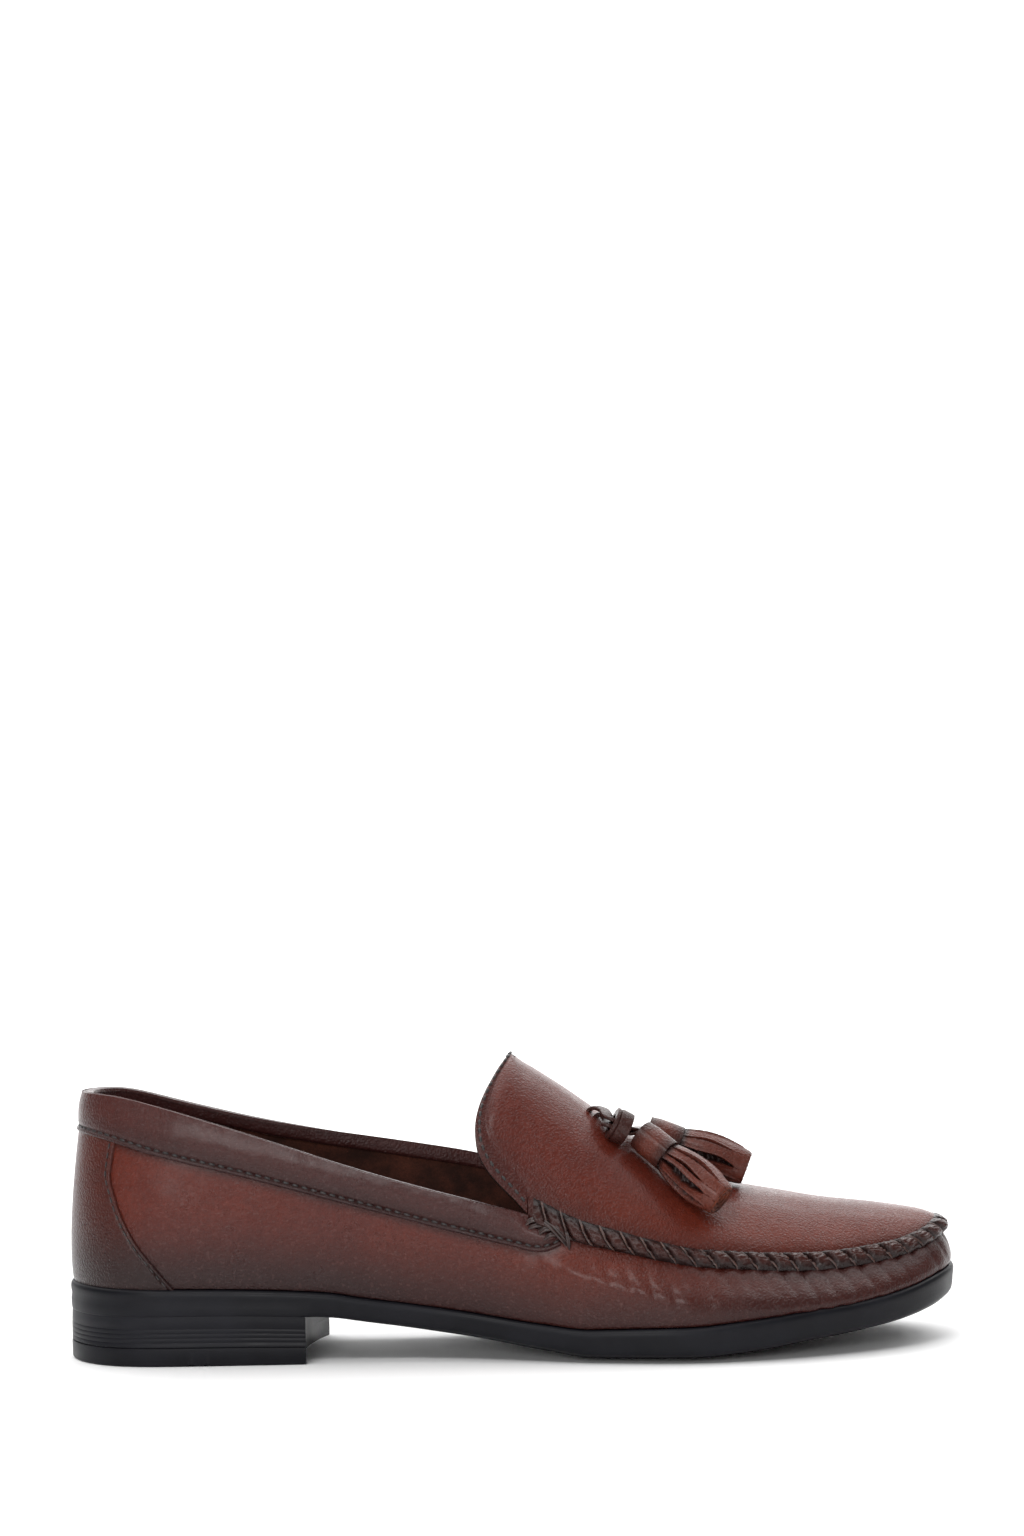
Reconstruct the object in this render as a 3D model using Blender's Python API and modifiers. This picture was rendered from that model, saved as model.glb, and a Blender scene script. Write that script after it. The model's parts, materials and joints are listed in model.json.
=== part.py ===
"""Tassel loafer for the right foot, standing empty on its sole.

The toe points along +X, the outer side faces -Y and +Z is up. The origin is on the floor under the
middle of the shoe. Lengths are metres. The tables hold shares of the sizes that their comments name.
"""

import math

import bmesh
import bpy
import numpy as np

# Driving sizes
LENGTH = 0.300  # outsole, heel to toe
BALL_WIDTH = 0.104  # outsole at the ball
HEEL_WIDTH = 0.0655  # outsole at the heel seat
HEEL_HEIGHT = 0.0165  # floor to the underside of the outsole at the heel
TOE_SPRING = 0.0136  # floor to the underside of the outsole at the toe
SOLE_THICKNESS = 0.0086
SOLE_CROWN = 0.0025  # the underside's edge over its flat middle
SOLE_CROWN_RUN = 0.022  # width of the strip that rises to the edge
SOLE_RIM = 0.0018  # how far the outsole stands proud of the upper
TOP_PIECE = 0.0062
BREAST_AT = 0.081  # heel back to the outer corner of the heel's front face
BREAST_SKEW = 0.0022
BREAST_HOLLOW = 0.0045
INSOLE = 0.0032
WALL = 0.0020  # leather and lining of the upper
WALL_BULGE = 0.0011
BACK_HEIGHT = 0.0632  # topline over the feather line at the heel
WALL_HEIGHT = 0.0349  # seam over the feather line at the throat, outer side
MEDIAL_LIFT = 0.0070  # how much higher the inner side is at the throat
DOME = 0.0426  # apron's ridge over its seam at the throat
HEEL_LEAN = 0.0060  # how far the topline lies in front of the heel's back
TOE_LEAN = 0.0040
THROAT = 0.514  # share of the top ring's length
TONGUE_TIP = 0.0506  # tongue's tip over the outer throat corner
TONGUE_BACK = 0.0170
TONGUE_RIDGE_BACK = 0.0045
BAND_WIDTH = 0.0121
BAND_THICKNESS = 0.0011
COUNTER_THICKNESS = 0.0007
SEAM_WIDTH = 0.0044
SEAM_HEIGHT = 0.0033
RING_LENGTH = 0.0050
RING_RADIUS = 0.0050
RING_HOLE = 0.0031
LACE_WIDTH = 0.0030
LACE_THICKNESS = 0.0013
CAP_LENGTH = 0.0120
CAP_RADIUS = 0.0053
SKIRT_LENGTH = 0.0240
TASSEL_NECK = 0.0010  # end of the lace to the cap's face
SKIRT_RADIUS = 0.0070
SLIT_DEPTH = 0.0018
STRIPS = 9
GAP = 0.0003
OVERLAY_GAP = 0.0004  # under the band, counter and seam
ASIDE = BALL_WIDTH * 0.029  # middle of the outsole's width to the line that its table is drawn from

# Outsole: station along LENGTH, middle as a share of BALL_WIDTH, half width as a share of the local width
OUTLINE = np.array(
    [
        # along, middle, half
        (0.000, 0.000, 0.000),
        (0.020, 0.000, 0.285),
        (0.060, 0.000, 0.437),
        (0.150, 0.000, 0.497),
        (0.280, -0.012, 0.484),
        (0.420, -0.030, 0.457),
        (0.550, -0.022, 0.465),
        (0.660, 0.008, 0.490),
        (0.740, 0.032, 0.500),
        (0.830, 0.052, 0.462),
        (0.910, 0.066, 0.372),
        (0.965, 0.072, 0.248),
        (1.000, 0.074, 0.000),
    ]
)

# Outsole from the side: shares of HEEL_HEIGHT, TOE_SPRING, SOLE_CROWN and SOLE_THICKNESS
PROFILE = np.array(
    [
        # along, heel, toe, crown, thickness
        (0.000, 1.00, 0.00, 0.00, 1.12),
        (0.070, 1.00, 0.00, 0.00, 1.06),
        (0.150, 1.00, 0.00, 0.00, 1.00),
        (0.290, 0.91, 0.00, 0.10, 0.94),
        (0.335, 0.74, 0.00, 0.60, 0.87),
        (0.400, 0.54, 0.00, 0.90, 0.845),
        (0.460, 0.37, 0.00, 1.00, 0.84),
        (0.530, 0.145, 0.00, 1.00, 0.895),
        (0.585, 0.00, 0.00, 1.00, 0.99),
        (0.690, 0.00, 0.00, 1.00, 1.08),
        (0.750, 0.00, 0.09, 1.00, 1.12),
        (0.820, 0.00, 0.29, 1.00, 1.07),
        (0.880, 0.00, 0.45, 0.95, 1.04),
        (0.930, 0.00, 0.61, 0.90, 1.085),
        (0.970, 0.00, 0.80, 0.90, 1.13),
        (1.000, 0.00, 1.00, 0.90, 1.05),
    ]
)

# Topline and seam: station along the top ring, middle as a share of BALL_WIDTH, half width as a share of
# the local width, then shares of BACK_HEIGHT, WALL_HEIGHT and MEDIAL_LIFT over the seat line
TOP_RING = np.array(
    [
        # along, middle, half, back, fore, lift
        (0.000, 0.000, 0.000, 1.000, 0.000, 0.00),
        (0.031, 0.000, 0.283, 0.996, 0.000, -0.06),
        (0.090, 0.000, 0.389, 0.941, 0.000, -0.20),
        (0.1345, 0.000, 0.428, 0.880, 0.000, -0.17),
        (0.186, 0.000, 0.452, 0.750, 0.097, -0.03),
        (0.255, 0.000, 0.475, 0.560, 0.249, 0.31),
        (0.314, 0.000, 0.496, 0.400, 0.378, 0.66),
        (0.393, 0.000, 0.517, 0.205, 0.608, 1.03),
        (0.445, 0.000, 0.501, 0.100, 0.789, 1.19),
        (0.483, 0.000, 0.475, 0.040, 0.912, 1.23),
        (0.514, 0.000, 0.451, 0.000, 0.987, 1.20),
        (0.552, 0.002, 0.442, 0.000, 0.907, 1.00),
        (0.600, 0.005, 0.423, 0.000, 0.804, 0.79),
        (0.6655, 0.010, 0.396, 0.000, 0.666, 0.55),
        (0.724, 0.018, 0.375, 0.000, 0.568, 0.41),
        (0.783, 0.028, 0.350, 0.000, 0.476, 0.30),
        (0.841, 0.040, 0.318, 0.000, 0.400, 0.21),
        (0.886, 0.050, 0.284, 0.000, 0.381, 0.14),
        (0.9345, 0.060, 0.236, 0.000, 0.366, 0.08),
        (0.972, 0.066, 0.168, 0.000, 0.366, 0.03),
        (1.000, 0.069, 0.000, 0.000, 0.381, 0.00),
    ]
)

# Apron's ridge over its seam: share of DOME
RIDGE = np.array(
    [
        # along, dome
        (0.514, 1.000),
        (0.537, 0.980),
        (0.563, 0.946),
        (0.589, 0.873),
        (0.625, 0.758),
        (0.672, 0.630),
        (0.724, 0.512),
        (0.770, 0.465),
        (0.814, 0.437),
        (0.862, 0.387),
        (0.907, 0.329),
        (0.952, 0.242),
        (0.982, 0.143),
        (1.000, 0.000),
    ]
)

# Tongue's free edge, from the throat corner to the tip: shares of TONGUE_BACK on the outer and on the inner
# side, of the throat's half width, of the rise to the tip, and of TONGUE_RIDGE_BACK for the row's ridge point
TONGUE = np.array(
    [
        # reach, outer, inner, half, rise, ridge
        (0.00, 0.000, 0.000, 1.000, 0.000, 0.00),
        (0.10, 0.235, 0.210, 0.965, 0.090, 0.18),
        (0.20, 0.530, 0.440, 0.930, 0.190, 0.36),
        (0.30, 0.790, 0.620, 0.885, 0.295, 0.50),
        (0.40, 0.950, 0.720, 0.825, 0.402, 0.62),
        (0.50, 1.000, 0.740, 0.745, 0.505, 0.72),
        (0.60, 0.980, 0.700, 0.650, 0.610, 0.80),
        (0.70, 0.870, 0.610, 0.535, 0.725, 0.87),
        (0.80, 0.700, 0.490, 0.400, 0.830, 0.93),
        (0.90, 0.475, 0.370, 0.225, 0.940, 0.98),
        (1.00, 0.265, 0.265, 0.000, 1.000, 1.00),
    ]
)

# Collar band: station along the top ring, its lower and upper edge under the top, shares of BAND_WIDTH
BAND = np.array(
    [
        # along, lower, upper
        (0.000, 1.09, 0.00),
        (0.090, 1.30, 0.00),
        (0.1345, 1.26, 0.00),
        (0.186, 1.17, 0.00),
        (0.393, 0.95, 0.00),
        (0.502, 0.95, 0.00),
        (0.514, 0.94, 0.26),
        (0.528, 0.84, 0.28),
        (0.541, 0.62, 0.28),
        (0.550, 0.42, 0.28),
    ]
)

# Heel counter's front edge: level up the wall, station along the wall
COUNTER = np.array(
    [
        # level, along
        (0.00, 0.1260),
        (0.13, 0.1040),
        (0.27, 0.0805),
        (0.47, 0.0576),
        (0.60, 0.0488),
        (0.78, 0.0510),
    ]
)

# Sides of the sole pieces, bottom to top: inset from the outline in metres, share of the height
OUTSOLE_SIDE = ((0.0018, 0.0), (0.0006, 0.22), (0.0006, 0.50), (0.0, 0.58), (0.0, 0.90), (0.0007, 1.0))
HEEL_SIDE = (
    (0.0004, 0.0),
    (0.0002, 0.05),
    (0.0002, 0.30),
    (0.0005, 0.33),
    (0.0002, 0.36),
    (0.0002, 0.63),
    (0.0005, 0.66),
    (0.0002, 0.69),
    (0.0002, 0.92),
    (0.0010, 1.0),
)
TOP_PIECE_SIDE = ((0.0007, 0.0), (0.0001, 0.12), (0.0001, 0.92), (0.0005, 1.0))
INSOLE_SIDE = ((0.0004, 0.0), (0.0, 0.35), (0.0, 0.80), (0.0006, 1.0))

# Seam bead: turn past the throat where it starts, and its section's shares of SEAM_HEIGHT
SEAM_START = 0.03
SEAM_FOOT, SEAM_SHOULDER, SEAM_LIP = 0.45, 0.85, 0.42

# Places in plan, along and across: shares of LENGTH and BALL_WIDTH
RING_AT = (0.1140, -0.1654)
LACE_FROM = (0.0863, -0.0942)
NEAR_TASSEL = ((0.1343, -0.1596), (0.2207, -0.2692))
FAR_TASSEL = ((0.1477, -0.0192), (0.2627, -0.0433))

# Ring from the side: shares of RING_RADIUS and of half its length
RING_SIDE = ((0.92, -1.0), (1.0, -0.75), (1.02, 0.0), (1.0, 0.75), (0.92, 1.0))

# Lace strands: height of the arch over the vamp, place in the pair, shift of the start along the vamp
LACES = (("lace_upper", 0.0042, 1.0, -0.0010), ("lace_lower", 0.0022, -1.0, 0.0016))
ARCH_AT = (0.0020, -0.0016)  # top of the arch, in plan from the start
LACE_SPREAD = 1.3  # distance of the pair before the ring over that inside it

# Tassel's cap, from its head: shares of CAP_LENGTH and CAP_RADIUS
CAP_SIDE = ((0.0, 0.80), (0.085, 0.97), (0.50, 1.0), (0.915, 1.0), (1.0, 0.94))

# Tassel's skirt, from the cap: shares of SKIRT_LENGTH, SKIRT_RADIUS and SLIT_DEPTH
SKIRT_SIDE = (
    (0.025, 0.64, 0.4),
    (0.12, 0.76, 0.9),
    (0.35, 0.96, 1.0),
    (0.55, 1.00, 1.0),
    (0.78, 0.95, 0.8),
    (0.90, 0.88, 0.0),
    (1.00, 0.82, 0.0),
)
STRIP_FROM, STRIP_TO = 0.18, 0.82  # flat of a strip, as shares of its part of the turn

# Forms of the upper's surface
WAIST_FROM, WAIST_TO = 0.36, 0.72  # where the local width goes over from heel to ball
SEAT_FROM, SEAT_TO = 0.30, 0.55  # where the seat line goes over from the heel's height to the feather line
WALL_LEAN = 1.7
BULGE_LOW = 0.6
APRON_ROUND = 2.4
INSOLE_CLEARANCE = 0.0006

# Steps of the meshes, and the small ones that slopes are taken over
PLAN_STEP = 0.004
SURFACE_STEP = 0.002
SEAM_STEP = 0.01
SLOPE_STEP = 0.001
BACK_STEPS = 19
FRONT_STEPS = 21
WALL_STEPS = 7
ACROSS_STEPS = 14
TONGUE_STEPS = 9
SOLE_STEPS = 34
RING_STEPS = 20
LACE_STEPS = 11
TAIL_STEPS = 6

UP = (0.0, 0.0, 1.0)
FULL_TURN = 2 * math.pi
RING_SHARE = LENGTH - HEEL_LEAN - TOE_LEAN


def smooth(x, xs, ys):
    """Natural cubic spline through the rows."""
    step = np.diff(xs)
    slope = np.diff(ys) / step
    size = len(xs)
    matrix = np.eye(size)
    right = np.zeros(size)
    for i in range(1, size - 1):
        matrix[i, i - 1] = step[i - 1]
        matrix[i, i] = 2 * (step[i - 1] + step[i])
        matrix[i, i + 1] = step[i]
        right[i] = 6 * (slope[i] - slope[i - 1])
    bend = np.linalg.solve(matrix, right)
    x = np.clip(x, xs[0], xs[-1])
    i = np.clip(np.searchsorted(xs, x) - 1, 0, size - 2)
    a = (xs[i + 1] - x) / step[i]
    b = 1 - a
    return a * ys[i] + b * ys[i + 1] + ((a**3 - a) * bend[i] + (b**3 - b) * bend[i + 1]) * step[i] ** 2 / 6


def level_curve(x, xs, ys):
    """Smooth curve through the rows that never passes beyond them, so level stretches stay level."""
    step = np.diff(xs)
    slope = np.diff(ys) / step
    tangent = np.zeros(len(xs))
    same = slope[:-1] * slope[1:] > 0
    first = 2 * step[1:] + step[:-1]
    second = step[1:] + 2 * step[:-1]
    for i in np.flatnonzero(same):
        tangent[i + 1] = (first[i] + second[i]) / (first[i] / slope[i] + second[i] / slope[i + 1])
    tangent[0] = slope[0]
    tangent[-1] = slope[-1]
    x = np.clip(x, xs[0], xs[-1])
    i = np.clip(np.searchsorted(xs, x) - 1, 0, len(xs) - 2)
    t = (x - xs[i]) / step[i]
    start = (2 * t**3 - 3 * t**2 + 1) * ys[i] + (t**3 - 2 * t**2 + t) * step[i] * tangent[i]
    end = (3 * t**2 - 2 * t**3) * ys[i + 1] + (t**3 - t**2) * step[i] * tangent[i + 1]
    return start + end


def stacked(*parts):
    return np.stack(np.broadcast_arrays(*parts), axis=-1)


def unit(v):
    return v / np.linalg.norm(v, axis=-1, keepdims=True)


def share_of(turn):
    """Station along the shoe, 0 at the heel and 1 at the toe, of a turn round it from the heel's back."""
    return (1 - np.cos(turn)) / 2


def turn_of(share):
    return np.arccos(np.clip(1 - 2 * share, -1, 1))


def folded(turn):
    """The same turn measured from the heel on either side, from 0 to pi."""
    turn = np.mod(turn, FULL_TURN)
    return np.minimum(turn, FULL_TURN - turn)


def side_of(turn):
    """-1 on the outer side, +1 on the inner side."""
    return np.where(np.mod(turn, FULL_TURN) <= math.pi, -1.0, 1.0)


def local_width(share):
    t = np.clip((share - WAIST_FROM) / (WAIST_TO - WAIST_FROM), 0, 1)
    return HEEL_WIDTH + (BALL_WIDTH - HEEL_WIDTH) * t * t * (3 - 2 * t)


def plan(table, turn, length, start):
    """Plan position on a ring whose middles and half widths are in the table's second and third columns."""
    angle = folded(turn)
    share = share_of(angle)
    half = local_width(share) * smooth(angle, turn_of(table[:, 0]), table[:, 2])
    middle = BALL_WIDTH * smooth(share, table[:, 0], table[:, 1])
    return stacked(start + share * length, middle + side_of(turn) * half - ASIDE, 0.0)


def plan_normal(table, turn, length, start):
    """Level unit vector that points out of the ring."""
    along = plan(table, turn + PLAN_STEP, length, start) - plan(table, turn - PLAN_STEP, length, start)
    return unit(stacked(along[..., 1], -along[..., 0], 0.0))


def column(table, share, index):
    return level_curve(share, table[:, 0], table[:, index])


def outline(turn, inset=0.0):
    """Plan position on the outsole's edge, or a distance inside it."""
    turn = np.asarray(turn, float)
    edge = plan(OUTLINE, turn, LENGTH, -LENGTH / 2)
    return edge - plan_normal(OUTLINE, turn, LENGTH, -LENGTH / 2) * inset


def share_at(x):
    return np.clip(x / LENGTH + 0.5, 0, 1)


def underside(share):
    """Height of the outsole's underside along its middle, and how much its edge is over that."""
    heel = HEEL_HEIGHT * column(PROFILE, share, 1)
    toe = TOE_SPRING * column(PROFILE, share, 2)
    return heel + toe, SOLE_CROWN * column(PROFILE, share, 3)


def feather(x):
    """Height of the outsole's top at x."""
    share = share_at(x)
    low, crown = underside(share)
    return low + crown + SOLE_THICKNESS * column(PROFILE, share, 4)


def seat_line(x):
    """Height that the topline is measured from: level at the heel, and the feather line from the throat on."""
    t = np.clip((share_at(x) - SEAT_FROM) / (SEAT_TO - SEAT_FROM), 0, 1)
    local = t * t * (3 - 2 * t)
    return feather(-LENGTH / 2) * (1 - local) + feather(x) * local


def top_ring(turn):
    """Top edge of the wall: the topline behind the throat and the apron's seam in front of it."""
    share = share_of(folded(turn))
    edge = plan(TOP_RING, turn, RING_SHARE, HEEL_LEAN - LENGTH / 2)
    x, y = edge[..., 0], edge[..., 1]
    rows = TOP_RING[:, 0]
    height = BACK_HEIGHT * smooth(share, rows, TOP_RING[:, 3]) + WALL_HEIGHT * smooth(share, rows, TOP_RING[:, 4])
    lift = MEDIAL_LIFT * smooth(share, rows, TOP_RING[:, 5])
    return stacked(x, y, seat_line(x) + height + lift * (side_of(turn) > 0))


def foot_ring(turn):
    """Bottom edge of the wall, on the outsole."""
    edge = outline(turn, SOLE_RIM)
    return stacked(edge[..., 0], edge[..., 1], feather(edge[..., 0]) + GAP)


def wall(turn, level):
    """Outer face of the wall, from 0 at the outsole to 1 at the top."""
    turn, level = np.broadcast_arrays(np.asarray(turn, float), np.asarray(level, float))
    foot = foot_ring(turn)
    top = top_ring(turn)
    lean = np.clip(level, 0, 1) ** WALL_LEAN
    point = foot + (top - foot) * stacked(lean, lean, level)
    swell = WALL_BULGE * np.sin(math.pi * np.clip(level, 0, 1) ** BULGE_LOW)
    return point + plan_normal(OUTLINE, turn, LENGTH, -LENGTH / 2) * swell[..., None]


def apron(turn, across):
    """Outer face of the apron: across runs from -1 at the outer seam to 1 at the inner seam."""
    turn, across = np.broadcast_arrays(np.asarray(turn, float), np.asarray(across, float))
    outer = top_ring(turn)
    inner = top_ring(FULL_TURN - turn)
    mix = ((across + 1) / 2)[..., None]
    point = outer * (1 - mix) + inner * mix
    dome = DOME * smooth(turn, turn_of(RIDGE[:, 0]), RIDGE[:, 1])
    rise = dome * (1 - np.abs(across) ** APRON_ROUND)
    return point + stacked(0 * rise, 0 * rise, rise)


def tongue(reach, across):
    """Outer face of the free tongue: reach runs from 0 at the throat to 1 at the tip."""
    reach, across = np.broadcast_arrays(np.asarray(reach, float), np.asarray(across, float))
    throat_turn = turn_of(THROAT)
    outer = top_ring(throat_turn)
    inner = top_ring(FULL_TURN - throat_turn)
    ridge = apron(throat_turn, 0.0)
    tip_height = outer[2] + TONGUE_TIP
    rows = TONGUE[:, 0]
    outer_back, inner_back, half, rise, ridge_back = (smooth(reach, rows, TONGUE[:, i]) for i in range(1, 6))
    mix = (across + 1) / 2
    middle = (outer[1] + inner[1]) / 2
    y = middle + (inner[1] - middle) * half * across
    edge_x = ridge[0] - TONGUE_BACK * (outer_back * (1 - mix) + inner_back * mix)
    outer_z = outer[2] + (tip_height - outer[2]) * rise
    inner_z = inner[2] + (tip_height - inner[2]) * rise
    ridge_x = ridge[0] - TONGUE_RIDGE_BACK * ridge_back
    ridge_z = ridge[2] + (tip_height - ridge[2]) * ridge_back
    arch = 1 - np.abs(across) ** APRON_ROUND
    z = outer_z * (1 - mix) + inner_z * mix + (ridge_z - (outer_z + inner_z) / 2) * arch
    return stacked(edge_x + (ridge_x - edge_x) * arch, y, z)


def apron_height(x, y):
    """Height of the apron at a plan position."""
    turn = turn_of((x + LENGTH / 2 - HEEL_LEAN) / RING_SHARE)
    outer = top_ring(turn)
    inner = top_ring(FULL_TURN - turn)
    half = np.maximum((inner[..., 1] - outer[..., 1]) / 2, 1e-6)
    across = (y - (outer[..., 1] + inner[..., 1]) / 2) / half
    return apron(turn, np.clip(across, -1, 1))[..., 2]


def normals(surface, u, v):
    """Unit normals of a surface function, from small steps along both of its directions."""
    along = surface(u + SURFACE_STEP, v) - surface(u - SURFACE_STEP, v)
    up = surface(u, np.minimum(v + SURFACE_STEP, 1)) - surface(u, np.maximum(v - SURFACE_STEP, 0))
    return unit(np.cross(along, up))


def put_mesh(name, mesh_points, faces, parts, material, weld=1e-6):
    """Object of a mesh given by points and faces, with coinciding points made one."""
    mesh = bpy.data.meshes.new(name)
    mesh.from_pydata([tuple(p) for p in mesh_points], [], faces)
    edit = bmesh.new()
    edit.from_mesh(mesh)
    bmesh.ops.remove_doubles(edit, verts=edit.verts, dist=weld)
    edit.to_mesh(mesh)
    edit.free()
    mesh.materials.append(material)
    obj = bpy.data.objects.new(name, mesh)
    parts.objects.link(obj)
    return obj


def face_out(obj):
    """Turns the faces of a closed mesh outwards, and shades its round stretches smooth."""
    edit = bmesh.new()
    edit.from_mesh(obj.data)
    bmesh.ops.recalc_face_normals(edit, faces=edit.faces)
    edit.to_mesh(obj.data)
    edit.free()
    soften(obj)
    return obj


def soften(obj):
    obj.data.shade_smooth()
    obj.data.set_sharp_from_angle(angle=math.radians(40))


def solidify(obj, thickness, offset):
    modifier = obj.modifiers.new("Thickness", "SOLIDIFY")
    modifier.thickness = thickness
    modifier.offset = offset
    modifier.use_even_offset = True
    modifier.thickness_clamp = 0.0
    return obj


def grid_faces(rows, columns, first=0, closed=False):
    """Quads over points laid out row by row."""
    last = columns if closed else columns - 1
    faces = []
    for r in range(rows - 1):
        for c in range(last):
            a = first + r * columns + c
            b = first + r * columns + (c + 1) % columns
            faces.append((a, b, b + columns, a + columns))
    return faces


def lattice_skin(point, stations, columns, levels):
    """Points and quads over the six sides of a block of stations, columns and levels."""
    index = {}
    points = []

    def at(i, j, k):
        if (i, j, k) not in index:
            index[i, j, k] = len(points)
            points.append(point(i, j, k))
        return index[i, j, k]

    faces = []
    for i in range(stations - 1):
        for j in range(columns - 1):
            for k in (0, levels - 1):
                faces.append((at(i, j, k), at(i + 1, j, k), at(i + 1, j + 1, k), at(i, j + 1, k)))
        for k in range(levels - 1):
            for j in (0, columns - 1):
                faces.append((at(i, j, k), at(i + 1, j, k), at(i + 1, j, k + 1), at(i, j, k + 1)))
    for j in range(columns - 1):
        for k in range(levels - 1):
            for i in (0, stations - 1):
                faces.append((at(i, j, k), at(i, j + 1, k), at(i, j + 1, k + 1), at(i, j, k + 1)))
    return points, faces


def edge_distance(turn, across):
    """How far a point of the sole lies from its nearer long edge."""
    half = (outline(FULL_TURN - turn)[..., 1] - outline(turn)[..., 1]) / 2
    return half * (1 - abs(across))


def crowned(share, distance):
    """Height of the outsole's underside at a distance from its edge."""
    low, crown = underside(share)
    t = np.clip(1 - distance / SOLE_CROWN_RUN, 0, 1)
    return low + crown * t * t


def sole_point(turn, across, inset):
    """Plan position across the sole, from -1 at the outer edge to 1 at the inner edge."""
    mix = (across + 1) / 2
    point = outline(turn, inset) * (1 - mix) + outline(FULL_TURN - turn, inset) * mix
    return point[0], point[1]


def make_outsole(parts, material):
    turns = np.linspace(0, math.pi, SOLE_STEPS + 1)
    columns = (-1.0, -0.82, -0.62, -0.40, 0.0, 0.40, 0.62, 0.82, 1.0)
    top = len(OUTSOLE_SIDE) - 1

    def point(i, j, k):
        inset, share_up = OUTSOLE_SIDE[k]
        x, y = sole_point(turns[i], columns[j], inset)
        share = share_at(x)
        edge = crowned(share, 0.0)
        if k == 0:
            return (x, y, crowned(share, edge_distance(turns[i], columns[j])))
        if k == top:
            return (x, y, feather(x))
        return (x, y, edge + (feather(x) - edge) * share_up)

    points, faces = lattice_skin(point, len(turns), len(columns), len(OUTSOLE_SIDE))
    return face_out(put_mesh("outsole", points, faces, parts, material))


def breast_turn():
    return float(turn_of(BREAST_AT / LENGTH))


def heel_layer(name, side, low, high, parts, material):
    """Layer of the heel between two heights, each a function of the station and the edge distance."""
    turns = np.linspace(0, breast_turn(), 13)
    columns = np.linspace(-1, 1, 7)
    last = len(turns) - 1

    def point(i, j, k):
        inset, share_up = side[k]
        x, y = sole_point(turns[i], columns[j], inset)
        forward = (i / last) ** 4
        x += forward * (BREAST_SKEW * (columns[j] + 1) - BREAST_HOLLOW * (1 - columns[j] ** 2))
        share = share_at(x)
        bottom = low(share)
        return (x, y, bottom + (high(share) - bottom) * share_up)

    points, faces = lattice_skin(point, len(turns), len(columns), len(side))
    return face_out(put_mesh(name, points, faces, parts, material))


def make_insole(parts, material):
    turns = np.linspace(0, math.pi, SOLE_STEPS + 1)
    columns = (-1.0, -0.5, 0.0, 0.5, 1.0)
    margin = SOLE_RIM + WALL + INSOLE_CLEARANCE

    def point(i, j, k):
        inset, share_up = INSOLE_SIDE[k]
        x, y = sole_point(turns[i], columns[j], margin + inset)
        return (x, y, feather(x) + GAP + INSOLE * share_up)

    points, faces = lattice_skin(point, len(turns), len(columns), len(INSOLE_SIDE))
    return face_out(put_mesh("insole", points, faces, parts, material))


def half_turns():
    """Turns of one side's columns, from the heel over the throat to the toe."""
    throat = float(turn_of(THROAT))
    back = np.linspace(0, throat, BACK_STEPS + 1)
    front = np.linspace(throat, math.pi, FRONT_STEPS + 1)
    return back, front


def make_upper(parts, material):
    back, front = half_turns()
    half = np.concatenate([back, front[1:]])
    ring = np.concatenate([half, FULL_TURN - half[-2:0:-1]])
    levels = np.linspace(0, 1, WALL_STEPS + 1)
    wall_points = wall(ring[None, :], levels[:, None]).reshape(-1, 3)
    faces = grid_faces(len(levels), len(ring), closed=True)
    across = np.linspace(-1, 1, ACROSS_STEPS + 1)
    apron_points = apron(front[::-1][:, None], across[None, :])
    reaches = np.linspace(0, 1, TONGUE_STEPS + 1)[1:]
    tongue_points = tongue(reaches[:, None], across[None, :])
    cover = np.concatenate([apron_points, tongue_points]).reshape(-1, 3)
    rows = len(front) + len(reaches)
    faces += grid_faces(rows, len(across), first=len(wall_points))
    points = np.concatenate([wall_points, cover])
    obj = put_mesh("upper", points, faces, parts, material)
    soften(obj)
    return solidify(obj, WALL, -1.0)


def overlay(name, turns, levels, thickness, parts, material):
    """Shell laid on the wall between two distances from its outer face."""
    surface_points = wall(turns, levels)
    lifted = surface_points + normals(wall, turns, levels) * OVERLAY_GAP
    faces = grid_faces(*turns.shape)
    obj = put_mesh(name, lifted.reshape(-1, 3), faces, parts, material)
    soften(obj)
    return solidify(obj, thickness, 1.0)


def wall_height(turn):
    return top_ring(turn)[..., 2] - foot_ring(turn)[..., 2]


def band_level(turn, index, clearance=0.0):
    """Level up the wall of the collar band's lower (1) or upper (2) edge."""
    share = share_of(folded(turn))
    depth = BAND_WIDTH * column(BAND, share, index) + clearance
    return 1 - depth / wall_height(turn)


def make_band(parts, material):
    end = float(turn_of(BAND[-1, 0]))
    tab = float(turn_of(BAND[-5, 0]))
    half = np.concatenate([np.linspace(0, tab, 15), np.linspace(tab, end, 7)[1:]])
    turns = np.concatenate([-half[:0:-1], half])
    low = band_level(turns, 1)
    high = band_level(turns, 2)
    steps = np.linspace(0, 1, 4)[:, None]
    levels = low * (1 - steps) + high * steps
    turns = np.broadcast_to(turns, levels.shape)
    return overlay("collar_band", turns, levels, BAND_THICKNESS, parts, material)


def make_counter(parts, material):
    steps = np.linspace(0.01, 1, 9)[:, None]
    spread = np.linspace(-1, 1, 25)[None, :]
    nominal = steps * COUNTER[-1, 0]
    turns = spread * turn_of(level_curve(nominal, COUNTER[:, 0], COUNTER[:, 1]))
    levels = steps * band_level(turns, 1, clearance=GAP + COUNTER_THICKNESS)
    return overlay("heel_counter", turns, levels, COUNTER_THICKNESS, parts, material)


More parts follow.
